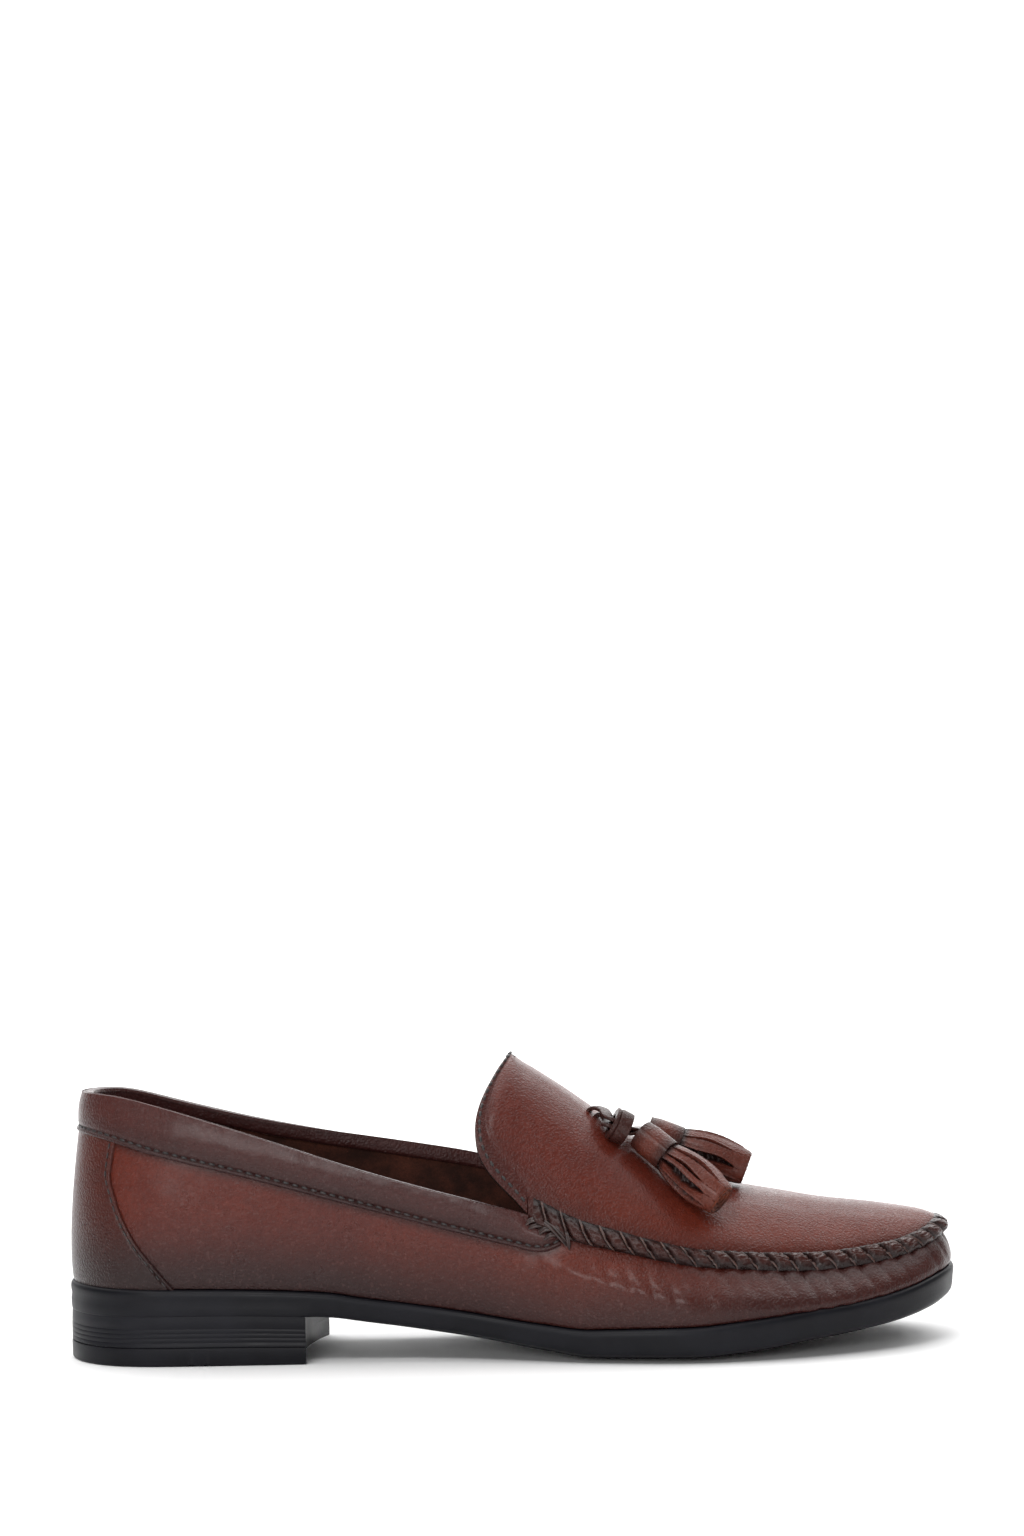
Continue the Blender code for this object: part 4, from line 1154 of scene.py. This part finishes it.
def seam_frame(turn, reach):
    """Points a distance down the wall and in along the apron from the seam, and their outward normals."""
    seam = top_ring(turn)
    along = top_ring(turn + 0.01) - top_ring(turn - 0.01)
    low = wall(turn, 1 - reach / wall_height(turn))
    plan_in = unit(stacked(-along[..., 1], along[..., 0], 0.0))
    x = seam[..., 0] + plan_in[..., 0] * reach
    y = seam[..., 1] + plan_in[..., 1] * reach
    inner = stacked(x, y, apron_height(x, y))
    wall_out = unit(np.cross(along, seam - low))
    apron_out = unit(np.cross(along, inner - seam))
    return low, inner, wall_out, apron_out


def bead_phase(turn, share):
    """Stitch count at a point of the bead, whose share runs from 0 on the wall's side to 1 on the apron's."""
    return seam_phase(turn) + side_of(turn) * STITCH_SLANT * (0.5 - share)


def bead(turn, share, lift=0.0):
    """Surface of the gathered bead between wall and apron, puffed up between the stitches."""
    turn, share = np.broadcast_arrays(np.asarray(turn, float), np.asarray(share, float))
    low, inner, wall_out, apron_out = seam_frame(turn, SEAM_WIDTH / 2)
    seam = top_ring(turn)
    t = share[..., None]
    base = low * (1 - t) ** 2 + (2 * seam - (low + inner) / 2) * 2 * t * (1 - t) + inner * t**2
    out = unit(wall_out * (1 - t) + apron_out * t)
    profile = np.sin(math.pi * np.clip(share, 0, 1)) ** 0.62
    phase = bead_phase(turn, share)
    puff = np.round(phase - 0.5)
    pinch = 1 - 0.66 * valley(phase, 0.15) - 0.16 * np.mod(phase, 1)
    size = 1 + 0.12 * irregular(puff, 5)
    height = SEAM_HEIGHT * profile * pinch * size - 0.00035
    calm = 1 - valley(phase, 0.2)
    wrinkle = 0.00016 * np.sin(share * 31 + 3 * irregular(puff, 6) + 2.5 * np.sin(phase * 5)) * calm
    wrinkle = wrinkle + 0.00008 * np.sin(share * 57 + 5 * irregular(puff, 7) + 2 * np.sin(phase * 9)) * calm
    return base + out * (height + wrinkle + lift)[..., None]


def make_bead(leather):
    start = turn_at_phase(0.25)
    turns = even_turns(float(start), FULL_TURN - float(start), 0.00036)
    turn, share = np.meshgrid(turns, np.linspace(0, 1, 25))
    points = bead(turn, share)
    pieces = Pieces()
    # Darker in the pinches between the puffs and along the bead's sides: painted shade in the crevices.
    raised = (1 - valley(bead_phase(turn, share), 0.2)) * np.sin(math.pi * share)
    pieces.add_grid(points, 0, low=0.04, down=EDGE_SHADE * raised)
    obj = pieces.build("seam_bead", [leather])
    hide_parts("apron_seam")
    return obj


def thread_route(number):
    """Path of one hand stitch over the bead, from the apron's side down to the wall's side."""
    share = np.linspace(1.06, -0.02, 15)
    middle = turn_at_phase(number)
    side = float(side_of(middle))
    phase = number - side * STITCH_SLANT * (0.5 - np.clip(share, 0, 1))
    turn = turn_at_phase(phase)
    sink = 0.0006 * fade(np.abs(share - 0.52), 0.40, 0.56)
    return bead(turn, np.clip(share, 0.0, 1.0), 0.00032 - sink), turn


def make_threads(thread):
    pieces = Pieces()
    for number in range(1, STITCHES):
        route, turn = thread_route(number)
        size = 0.00036 * (1 + 0.2 * irregular(number, 8))
        taper = 1 - 0.45 * fade(np.abs(np.linspace(-1, 1, len(route))), 0.6, 1.0)
        out = unit(np.array([0.0, float(side_of(turn[7])) * 0.6, 1.0]))
        points = tube(route, out, size * 1.25 * taper, size * 0.75 * taper, sides=8)
        pieces.add_grid(points, 0, closed=True)
    obj = pieces.build("seam_threads", [thread])
    return obj


# Crossed strands over the throat's corner: distance along the seam and depth under it at the start, middle and
# end, height over the wall at the middle, half width; all in metres
KNOT = (
    ((-0.0020, 0.0048), (0.0016, 0.0018), (0.0068, -0.0002), 0.0020, 0.00075),
    ((-0.0016, 0.0056), (0.0030, 0.0030), (0.0078, 0.0006), 0.0019, 0.00070),
    ((0.0030, 0.0062), (0.0060, 0.0034), (0.0118, 0.0004), 0.0028, 0.00080),
    ((0.0044, 0.0072), (0.0080, 0.0044), (0.0130, 0.0014), 0.0026, 0.00065),
    ((0.0030, 0.0002), (0.0078, 0.0018), (0.0140, 0.0048), 0.0034, 0.00070),
    ((0.0056, -0.0004), (0.0098, 0.0014), (0.0150, 0.0040), 0.0036, 0.00060),
    ((0.0132, -0.0004), (0.0140, 0.0022), (0.0146, 0.0056), 0.0034, 0.00050),
)


def knot_spot(along, depth, lift, side):
    """Point over the wall or apron: distance past the throat's corner, depth under the seam, height over both."""
    turns = np.linspace(SEAM_TURNS[0] - 0.25, SEAM_TURNS[0] + 0.4, 600)
    line = top_ring(turns)
    marks = marks_along(line)
    turn = np.interp(along + np.interp(SEAM_TURNS[0], turns, marks), marks, turns)
    turn = turn if side < 0 else FULL_TURN - turn
    place, normal = wall_point(turn, min(1 - depth / wall_height(turn), 1.0), 0.0)
    over = max(-depth, 0.0)
    return place + unit(normal + np.array([0, 0, 0.5])) * (lift + over)


def make_knots(thread):
    """Crossed thick strands that close the seam at each side of the throat."""
    pieces = Pieces()
    for side in (-1, 1):
        for start, middle, end, lift, half in KNOT:
            heights = (0.0, lift * 0.85, 0.0002)
            spots = [knot_spot(*at, high, side) for at, high in zip((start, middle, end), heights)]
            path = along_path(spots, 24)
            share = np.linspace(-1, 1, len(path))
            out = unit(np.array([0.0, float(side), 0.8]))
            width = half * 1.2 * (1 - 0.7 * np.abs(share) ** 3)
            for ply in (-1, 1):
                twist = np.cross(unit(spots[2] - spots[0]), out) * (ply * 0.55)
                strand = path + twist[None] * width[:, None] + out * (0.0001 * ply)
                pieces.add_grid(tube(strand, out, width * 0.62, width * 0.55, sides=10), 0, closed=True)
    obj = pieces.build("throat_knots", [thread])
    return obj


def make_tongue_stitches(thread):
    """Row of stitches along the tongue's free edge."""
    reaches = np.linspace(0.02, 0.97, 160)
    line, out = [], []
    for side in (-1, 1):
        part = []
        normal_part = []
        for reach in reaches:
            across = np.linspace(-1, 1, 41)
            row = tongue(reach, across)
            marks = marks_along(row)
            if marks[-1] < 2 * TONGUE_STITCH_INSET:
                continue
            at = TONGUE_STITCH_INSET if side < 0 else marks[-1] - TONGUE_STITCH_INSET
            spot = np.interp(at, marks, across)
            here = tongue(reach, spot)
            step = 0.02
            u = tongue(min(reach + step, 1), spot) - tongue(reach - step, spot)
            v = tongue(reach, min(spot + step, 1)) - tongue(reach, max(spot - step, -1))
            normal_part.append(unit(np.cross(v, u)))
            part.append(here + normal_part[-1] * 0.0001)
        if side > 0:
            part.reverse()
            normal_part.reverse()
        line += part
        out += normal_part
    pieces = Pieces()
    row_of_stitches(pieces, np.array(line), np.array(out), TONGUE_STITCH_PITCH, 0.0023, 0.0010, 0.00055, 0)
    obj = pieces.build("tongue_stitches", [thread])
    return obj


def edge_distance(turn, across):
    half = (outline(FULL_TURN - turn)[..., 1] - outline(turn)[..., 1]) / 2
    return half * (1 - np.abs(across))


def crowned(share, distance):
    """Height of the outsole's underside at a distance from its edge."""
    low, crown = underside(share)
    t = np.clip(1 - distance / SOLE_CROWN_RUN, 0, 1)
    return low + crown * t * t


def across_plan(turn, across, inset):
    mix = ((across + 1) / 2)[..., None]
    return outline(turn, inset) * (1 - mix) + outline(FULL_TURN - turn, inset) * mix


# Outsole's side from its lower edge to its top: inset in metres, share of the height
RIM = (
    (0.0032, -0.10),
    (0.0018, 0.00),
    (0.0012, 0.04),
    (0.0008, 0.10),
    (0.0006, 0.20),
    (0.0004, 0.35),
    (0.0003, 0.52),
    (0.0001, 0.66),
    (0.0, 0.78),
    (0.0001, 0.86),
    (0.0004, 0.93),
    (0.0010, 0.985),
    (0.0017, 1.0),
    (0.0026, 0.98),
    (0.0034, 0.93),
)


def make_outsole(rubber):
    turns = even_turns(0, FULL_TURN, 0.0009, ring=lambda t: outline(t))[:-1]
    pieces = Pieces()
    rows = []
    # Over the heel the side runs straight down into the heel's own.
    on_heel = 1 - fade(outline(turns)[:, 0], BREAST_AT - LENGTH / 2 - 0.003, BREAST_AT - LENGTH / 2 + 0.004)
    for inset, up in RIM:
        low_inset = inset if up > 0.5 else inset * (1 - 0.8 * on_heel)
        out = plan_normal(OUTLINE, turns, LENGTH, -LENGTH / 2)
        place = outline(turns) - out * np.asarray(low_inset)[..., None]
        share = share_at(place[:, 0])
        edge = crowned(share, 0.0)
        top = feather(place[:, 0])
        height = edge + (top - edge) * max(up, 0)
        if up < 0:
            height = crowned(share, inset)
        rows.append(stacked(place[:, 0], place[:, 1], height))
    points = np.array(rows)
    pieces.add_grid(points, 0, closed=True)
    half_turns = np.linspace(0.0, math.pi, 160)
    turn, across = np.meshgrid(half_turns, np.linspace(-1, 1, 41))
    place = across_plan(turn, across, 0.0028)
    height = crowned(share_at(place[..., 0]), edge_distance(turn, across) + 0.0028)
    pieces.add_grid(stacked(place[..., 0], place[..., 1], height), 0, flip=True)
    obj = pieces.build("outsole_edge", [rubber], sharp=75)
    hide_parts("outsole")
    return obj


def breast_turn():
    return float(turn_of(BREAST_AT / LENGTH))


def heel_plan(turn, across, inset):
    """Plan position in the heel, with its skewed and hollowed front face."""
    place = across_plan(turn, across, inset)
    forward = (turn / breast_turn()) ** 4
    shift = forward * (BREAST_SKEW * (across + 1) - BREAST_HOLLOW * (1 - across**2))
    return place + stacked(shift, 0 * shift, 0 * shift)


def heel_ring(inset):
    """Closed line round the heel: outer side, front face, inner side."""
    side = even_turns(0, breast_turn(), 0.0009, ring=lambda t: outline(t))
    front = np.linspace(-1, 1, 60)[1:-1]
    outer = heel_plan(side, np.full(len(side), -1.0), inset)
    face = heel_plan(np.full(len(front), breast_turn()), front, inset)
    inner = heel_plan(side, np.full(len(side), 1.0), inset)[::-1]
    return np.concatenate([outer, face, inner[:-1]])


NOTCHES = (-0.1068, -0.1015)  # small nicks along the outer side of the heel's bottom edge
NOTCH_HALF = 0.0007
NOTCH_DEPTH = 0.0011


def heel_rows():
    """Heel's side, bottom to top: inset in metres and share of the height; faint lines mark the layers."""
    rows = [(0.0012, 0.0), (0.0006, 0.012), (0.0003, 0.04), (0.0001, 0.30), (0.0002, 0.360), (0.0008, 0.369)]
    rows += [(0.0008, 0.378), (0.0002, 0.387)]
    for layer in (0.47, 0.56, 0.65, 0.74):
        rows += [(0.00022, layer - 0.010), (0.00032, layer), (0.00022, layer + 0.010)]
    rows += [(0.0003, 0.90), (0.0004, 1.0)]
    return rows


def make_heel(rubber, stack):
    pieces = Pieces()
    rows = []
    slots = []
    for inset, up in heel_rows():
        ring = heel_ring(inset)
        top = underside(share_at(ring[:, 0]))[0] + 0.0002
        notch = sum(hump(ring[:, 0], at, NOTCH_HALF) for at in NOTCHES)
        notch = notch * (ring[:, 1] < -0.01) * (up < 0.03) * NOTCH_DEPTH
        rows.append(stacked(ring[:, 0], ring[:, 1], top * up + notch))
    points = np.array(rows)
    pieces.add_grid(points[:6], 0, closed=True)
    pieces.add_grid(points[5:], 1, closed=True)
    turn, across = np.meshgrid(np.linspace(0, breast_turn(), 70), np.linspace(-1, 1, 50))
    place = heel_plan(turn, across, 0.0012)
    pieces.add_grid(stacked(place[..., 0], place[..., 1], 0 * turn), 0, flip=True)
    obj = pieces.build("heel", [rubber, stack], sharp=50)
    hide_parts("heel_block", "top_piece")
    return obj


def make_sock(leather):
    """Insole's cover: rounded at its edge and slightly hollowed under the heel."""
    turn, across = np.meshgrid(np.linspace(0.0, math.pi, 150), np.linspace(-1, 1, 61))
    margin = SOLE_RIM + WALL + INSOLE_CLEARANCE
    place = across_plan(turn, across, margin)
    edge = edge_distance(turn, across)
    height = feather(place[..., 0]) + GAP + INSOLE - 0.0012 * hump(edge, 0, 0.0015)
    height = height - 0.0004 * fade(edge, 0.004, 0.02)
    points = stacked(place[..., 0], place[..., 1], height)
    pieces = Pieces()
    pieces.add_grid(points, 0, low=0.03, down=0.02)
    obj = pieces.build("sock", [leather])
    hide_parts("insole")
    return obj


# Slits of each skirt: angle round it in degrees from the outer side, half width in degrees, reach
NEAR_SLITS = (
    (66, 7, 0.96),
    (30, 4, 0.80),
    (0, 13, 0.93),
    (-38, 14, 1.04),
    (-80, 8, 0.95),
    (-125, 8, 0.9),
    (170, 8, 0.9),
    (118, 6, 0.9),
)
FAR_SLITS = (
    (84, 6, 0.98),
    (42, 4, 0.85),
    (-4, 12, 0.94),
    (-46, 15, 1.06),
    (-90, 8, 0.95),
    (-135, 8, 0.9),
    (172, 8, 0.9),
    (128, 6, 0.9),
)

# Shifts against the CAD, in metres, that meet the photo better
NEAR_SHIFT = (0.0, 0.0, 0.0004)
FAR_SHIFT = (-0.0014, 0.0, -0.0008)
LACE_SHIFT = 0.0016

# Skirt from the cap to its end: share of its length, share of SKIRT_RADIUS
SKIRT_SWELL = np.array([(0, 0.67), (0.12, 0.80), (0.35, 0.97), (0.55, 1.00), (0.80, 0.95), (1.0, 0.83)])
SLIT_INTO = 0.0029
LAYER = 0.00155  # thickness of the rolled leather that shows at a tassel's end


def spot(place):
    return LENGTH * place[0], BALL_WIDTH * place[1]


def on_apron(x, y, lift):
    """Point a distance over the apron at a plan position."""
    slope_x = (apron_height(x + SLOPE_STEP, y) - apron_height(x - SLOPE_STEP, y)) / (2 * SLOPE_STEP)
    slope_y = (apron_height(x, y + SLOPE_STEP) - apron_height(x, y - SLOPE_STEP)) / (2 * SLOPE_STEP)
    return np.array([x, y, apron_height(x, y)]) + unit(np.array([-slope_x, -slope_y, 1.0])) * lift


def ring_place():
    centre = on_apron(*spot(RING_AT), RING_RADIUS + GAP)
    start = on_apron(*spot(NEAR_TASSEL[0]), CAP_RADIUS + 2 * GAP)
    return centre, unit(start - centre)


def square_to(axis):
    """Two directions square to an axis: level and outwards, then upwards."""
    side = unit(np.cross(axis, (0, 0, 1.0)))
    return side, np.cross(side, axis)


def make_ring(leather):
    """Strip of leather wound round the lace: a barrel with its overlapping edges."""
    centre, axis = ring_place()
    side, over = square_to(axis)
    half = RING_LENGTH * 0.60
    centre = centre - axis * 0.0006
    angle, place = np.meshgrid(np.linspace(0, FULL_TURN, 73)[:-1], np.linspace(0, 1, 40))
    # Section of the wall, from the hole's start over the outside to the hole's end.
    along = -half + 2 * half * np.clip((place - 0.14) / 0.72, 0, 1)
    edge = np.minimum(place, 1 - place)
    radius = RING_HOLE + (RING_RADIUS - RING_HOLE) * fade(edge, 0.0, 0.15)
    wound = np.mod(angle / FULL_TURN + 0.12 * place, 1)
    lap = fade(wound, 0.0, 0.03) * fade(1 - wound, 0.0, 0.2)
    groove = hump(place, 0.30, 0.025) * 0.0005
    barrel = 0.0003 * np.sin(math.pi * place)
    radius = radius + (0.0004 * lap - groove + barrel) * fade(edge, 0.06, 0.16)
    points = (
        centre
        + axis * along[..., None]
        + side * (radius * np.cos(angle))[..., None]
        + over * (radius * np.sin(angle))[..., None]
    )
    pieces = Pieces()
    pieces.add_grid(points, 0, closed=True, low=0.05, down=0.006 + 0.006 * np.sin(math.pi * place))
    obj = pieces.build("wound_ring", [leather])
    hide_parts("tie_ring")
    return obj


STRAP_SIDES = 12


def strap_grid(path, width, thickness):
    """Flat strap along a path, with rounded edges."""
    _, side, lift = frames_along(path, UP)
    angles = np.arange(STRAP_SIDES) * FULL_TURN / STRAP_SIDES
    a = np.sign(np.cos(angles)) * np.abs(np.cos(angles)) ** 0.45 * width / 2
    b = np.sign(np.sin(angles)) * np.abs(np.sin(angles)) ** 0.45 * thickness / 2
    grid_points = path[:, None, :] + side[:, None, :] * a[None, :, None] + lift[:, None, :] * b[None, :, None]
    first = np.broadcast_to(path[0], grid_points[:1].shape)
    last = np.broadcast_to(path[-1], grid_points[:1].shape)
    return np.concatenate([first, grid_points, last])


def make_laces(leather):
    """Lace out of the vamp in an arch to the ring, in two strands."""
    centre, axis = ring_place()
    side, over = square_to(axis)
    offset = over * (LACE_THICKNESS / 2 + GAP)
    stop = centre - axis * GAP
    before = centre - axis * RING_LENGTH
    pieces = Pieces()
    for arch, place, shift in LACES:
        x, y = spot(LACE_FROM)
        x += shift + LACE_SHIFT
        start = on_apron(x, y, -0.0012)
        lift = on_apron(x, y, LACE_THICKNESS / 2 + GAP)
        rise = on_apron(x + ARCH_AT[0], y + ARCH_AT[1], arch * 0.85)
        aside = offset * place
        path = along_path([start, lift, rise, before + aside * LACE_SPREAD, stop + aside], 40)
        strap = strap_grid(path, LACE_WIDTH * 1.15, LACE_THICKNESS * 1.1)
        pieces.add_grid(strap, 0, closed=True, low=0.05, down=0.012)
    obj = pieces.build("lace_loop", [leather])
    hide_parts("lace_upper", "lace_lower")
    return obj


def skirt_slits(angle, along, slits):
    """How open the skirt is at each point, 0 to 1, and how near its slits are."""
    opening = np.zeros(angle.shape)
    near = np.zeros(angle.shape)
    for degrees, half, reach in slits:
        wobble = 0.05 * np.sin(along * 9 + degrees)
        away = np.abs(np.angle(np.exp(1j * (angle - math.radians(degrees) - wobble))))
        length = np.clip((along - 0.02) / (reach * 0.86), 0, 1)
        lens = math.radians(half) * np.sin(math.pi * length) ** 0.6
        inside = fade(lens - away, -0.02, 0.05)
        opening = np.maximum(opening, inside)
        near = np.maximum(near, np.exp(-(((away - lens) / 0.06) ** 2)) * (length > 0) * (length < 1))
    return opening, near


def tassel_frame(start, end, shift):
    head = on_apron(*spot(start), CAP_RADIUS + 2 * GAP) + np.array(shift)
    foot = on_apron(*spot(end), SKIRT_RADIUS + 2 * GAP) + np.array(shift)
    axis = unit(foot - head)
    return head, axis, *square_to(axis)


def turned(head, axis, side, over, angle, along, radius):
    """Points round a tassel's axis."""
    return (
        head
        + axis * along[..., None]
        + side * (radius * np.cos(angle))[..., None]
        + over * (radius * np.sin(angle))[..., None]
    )


def make_tassel(name, node, start, end, slits, shift, from_side, leather, inside, lap_at):
    """Tassel: a cap of wrapped leather over a rolled skirt that is slit nearly to its end."""
    head, axis, side, over = tassel_frame(start, end, shift)
    pieces = Pieces()
    # Cap
    angle, place = np.meshgrid(np.linspace(0, FULL_TURN, 121)[:-1], np.linspace(0, 1, 44))
    along = CAP_LENGTH * np.clip((place - 0.16) / 0.72, 0, 1)
    along = along + 0.0020 * fade(0.14 - place, 0.0, 0.14)
    radius = CAP_RADIUS * (0.93 + 0.07 * fade(place, 0.16, 0.4))
    radius = radius - (0.0012) * fade(0.16 - place, 0.0, 0.05) - 0.0011 * fade(place, 0.89, 0.96)
    lap = np.mod((angle - math.radians(lap_at)) / FULL_TURN, 1)
    radius = radius + 0.00055 * fade(lap, 0.0, 0.012) * (1 - 0.75 * fade(lap, 0.02, 0.5))
    radius = radius + 0.00008 * np.sin(angle * 3 + place * 4)
    points = turned(head, axis, side, over, angle, along, radius)
    pieces.add_grid(points, 0, closed=True, low=0.05, down=np.minimum(along, CAP_LENGTH - along) + 0.002)
    # Skirt
    angle, place = np.meshgrid(np.linspace(0, FULL_TURN, 241)[:-1], np.linspace(0, 1, 130))
    opening, near = skirt_slits(angle, place, slits)
    radius = SKIRT_RADIUS * smooth(place, SKIRT_SWELL[:, 0], SKIRT_SWELL[:, 1])
    radius = radius - SLIT_INTO * opening * (0.8 + 0.2 * np.sin(place * 40 + angle * 5)) + 0.00035 * near
    radius = radius + 0.00012 * np.sin(angle * 4 + 2 * np.sin(place * 5)) - 0.0003 * fade(place, 0.97, 1.0)
    along = CAP_LENGTH - 0.0006 + place * (SKIRT_LENGTH + 0.0006)
    points = turned(head, axis, side, over, angle, along, radius)
    # Painted shade inside the slits and just under the cap.
    pieces.add_grid(points, 0, closed=True, low=0.05, down=0.010 * fade(place, 0, 0.2) * (1 - opening))
    # End, with the layers of the rolled leather
    angle, place = np.meshgrid(np.linspace(0, FULL_TURN, 121)[:-1], np.linspace(0, 1, 40))
    end_radius = radius[-1, 0] * (1 - place) + 0.0001
    layers = np.mod(end_radius / LAYER + angle / FULL_TURN, 1)
    ridge = fade(layers, 0.0, 0.22) * fade(1 - layers, 0.0, 0.22)
    rough = wave_noise(turned(head, axis, side, over, angle, 0 * angle, end_radius), 0.0012, 17)
    along = CAP_LENGTH + SKIRT_LENGTH - 0.0009 + 0.0009 * ridge + 0.00015 * rough
    along = along - 0.0008 * fade(place, 0.3, 1.0)
    outline_radius = np.interp(angle, np.linspace(0, FULL_TURN, 241)[:-1], radius[-1], period=FULL_TURN)
    points = turned(head, axis, side, over, angle, along, end_radius * outline_radius / radius[-1, 0])
    pieces.add_grid(points, 1, closed=True, low=0.05, down=0.004)
    # Strap from the ring into the cap
    centre, ring_axis = ring_place()
    ring_side, ring_over = square_to(ring_axis)
    offset = ring_over * (LACE_THICKNESS / 2 + GAP) * from_side
    root = centre + ring_axis * GAP + offset
    leave = centre + ring_axis * (RING_LENGTH / 2 + GAP) + offset
    neck = head - axis * TASSEL_NECK
    path = along_path([root, leave, (leave + neck) / 2, neck, head + axis * 0.003], 26)
    strap = strap_grid(path, LACE_WIDTH * 1.25, LACE_THICKNESS)
    pieces.add_grid(strap, 0, closed=True, low=0.05, down=0.003)
    obj = pieces.build(name, [leather, inside], sharp=70)
    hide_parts(node)
    return obj


PHOTO_LENGTH = 1536  # pixels of the photograph's long side
SENSOR = 36.0
CAMERA_AT = (-0.0011, -1.1033, 0.1761)
CAMERA_UP = 1.015  # degrees over the level
CAMERA_ASIDE = -0.206  # degrees from straight across the shoe
CAMERA_ROLL = -1.173
CAMERA_FOCAL = 3233.7  # pixels of the photograph


def make_camera():
    camera = bpy.data.cameras.new("camera")
    camera.sensor_width = SENSOR
    camera.lens = CAMERA_FOCAL * SENSOR / PHOTO_LENGTH
    obj = bpy.data.objects.new("camera", camera)
    bpy.context.scene.collection.objects.link(obj)
    turn = Matrix.Rotation(math.radians(CAMERA_ASIDE), 4, "Z")
    turn = turn @ Matrix.Rotation(math.radians(90 + CAMERA_UP), 4, "X")
    turn = turn @ Matrix.Rotation(math.radians(CAMERA_ROLL), 4, "Z")
    obj.matrix_world = Matrix.Translation(CAMERA_AT) @ turn
    bpy.context.scene.camera = obj
    return obj


def stage_material(name, colour, roughness):
    n = Nodes(name)
    return n.finish(colour, roughness, specular=0.2)


def make_floor():
    """Pale floor that sweeps up behind the shoe."""
    turns = np.linspace(0, math.pi / 2, 24)
    reach, bend = 2.6, 1.2
    curve = [(reach + bend * math.sin(t), bend - bend * math.cos(t)) for t in turns]
    line = [(-4.0, 0.0)] + curve + [(reach + bend, 6.0)]
    points = np.array([[(x, y, z) for x in (-6.0, 6.0)] for y, z in line])
    pieces = Pieces()
    pieces.add_grid(points)
    floor = pieces.build("floor", [stage_material("floor_paper", (0.96, 0.96, 0.96, 1.0), 0.9)])
    del floor["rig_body"]
    return floor


def area_light(name, place, target, size, power, colour=(1.0, 1.0, 1.0)):
    light = bpy.data.lights.new(name, "AREA")
    light.shape = "RECTANGLE"
    light.size, light.size_y = size
    light.energy = power
    light.color = colour
    obj = bpy.data.objects.new(name, light)
    bpy.context.scene.collection.objects.link(obj)
    direction = Vector(target) - Vector(place)
    obj.location = place
    obj.rotation_euler = direction.to_track_quat("-Z", "Y").to_euler()
    return obj


def make_lights():
    """Soft light from all round, with broad panels over the shoe, in front of it and on the backdrop."""
    world = bpy.data.worlds.new("studio")
    bpy.context.scene.world = world
    world.use_nodes = True
    world.node_tree.nodes["Background"].inputs["Color"].default_value = (1.0, 1.0, 1.0, 1.0)
    world.node_tree.nodes["Background"].inputs["Strength"].default_value = 0.30
    area_light("key", (-0.4, -1.1, 1.5), (0, 0, 0.03), (0.8, 0.5), 11)
    area_light("front", (-0.32, -1.30, 0.36), (0, 0, 0.05), (0.45, 0.32), 5.0)
    area_light("panel", (0.1, 0.9, 1.9), (0.1, 0.9, 0.0), (4.5, 2.6), 75)
    area_light("backdrop", (0.0, 1.9, 2.6), (0.0, 3.6, 0.9), (4.0, 1.5), 120)
    bpy.context.scene.view_settings.view_transform = "Standard"


def main():
    leather = burnished_and_shaded_leather("vamp_leather", rgb(98, 37, 22), rgb(80, 32, 25), rgb(40, 19, 18))
    # The counter's leather is a darker copy of the vamp's: painted shade on the heel's back.
    counter = burnished_and_shaded_leather("counter_leather_fine", rgb(76, 28, 18), rgb(58, 24, 19), rgb(34, 17, 16))
    band = burnished_and_shaded_leather("band_leather_fine", rgb(73, 36, 32), rgb(60, 30, 28), rgb(30, 15, 15), low_dark=0.0)
    bead_shades = rgb(62, 31, 26), rgb(46, 23, 20), rgb(12, 7, 7)
    bead_leather = burnished_and_shaded_leather("bead_leather", *bead_shades, grain=0.00012, gloss=0.22, edge_dark=0.9)
    cut_shades = rgb(56, 28, 23), rgb(44, 22, 19), rgb(20, 11, 10)
    cut_edge = burnished_and_shaded_leather("cut_edge", *cut_shades, coat=0.05, gloss=0.4)
    strap = burnished_and_shaded_leather("strap_leather", rgb(62, 32, 27), rgb(48, 25, 22), rgb(20, 11, 10))
    tassel_shades = rgb(100, 48, 36), rgb(80, 38, 30), rgb(22, 11, 10)
    tassel = burnished_and_shaded_leather("tassel_leather_fine", *tassel_shades, low_dark=0.0, edge_dark=0.95)
    lining = suede("lining_suede", rgb(72, 38, 28), rgb(38, 20, 15))
    rough = suede("rough_leather", rgb(140, 68, 42), rgb(58, 28, 20))
    black_thread = thread_material("black_thread", rgb(18, 13, 13), rgb(36, 25, 24), 0.5)
    hand_thread = thread_material("hand_thread", rgb(44, 25, 21), rgb(78, 48, 39), 0.4)
    knot_thread = thread_material("knot_thread", rgb(33, 19, 17), rgb(54, 32, 27), 0.4)
    rubber = sole_rubber("sole_black", rgb(13, 13, 18), rgb(27, 27, 33))
    stack = sole_rubber("heel_black", rgb(15, 15, 20), rgb(30, 30, 36))
    make_upper(leather, cut_edge, lining)
    make_lining(lining)
    make_band(band, black_thread)
    make_counter(counter, black_thread)
    make_bead(bead_leather)
    make_threads(hand_thread)
    make_knots(knot_thread)
    make_tongue_stitches(black_thread)
    make_outsole(rubber)
    make_heel(rubber, stack)
    make_sock(cut_edge)
    make_ring(strap)
    make_laces(strap)
    make_tassel("near_tassel", "tassel_near", *NEAR_TASSEL, NEAR_SLITS, NEAR_SHIFT, -1.0, tassel, rough, 40)
    make_tassel("far_tassel", "tassel_far", *FAR_TASSEL, FAR_SLITS, FAR_SHIFT, 1.0, tassel, rough, 200)
    make_floor()
    make_lights()
    make_camera()


main()
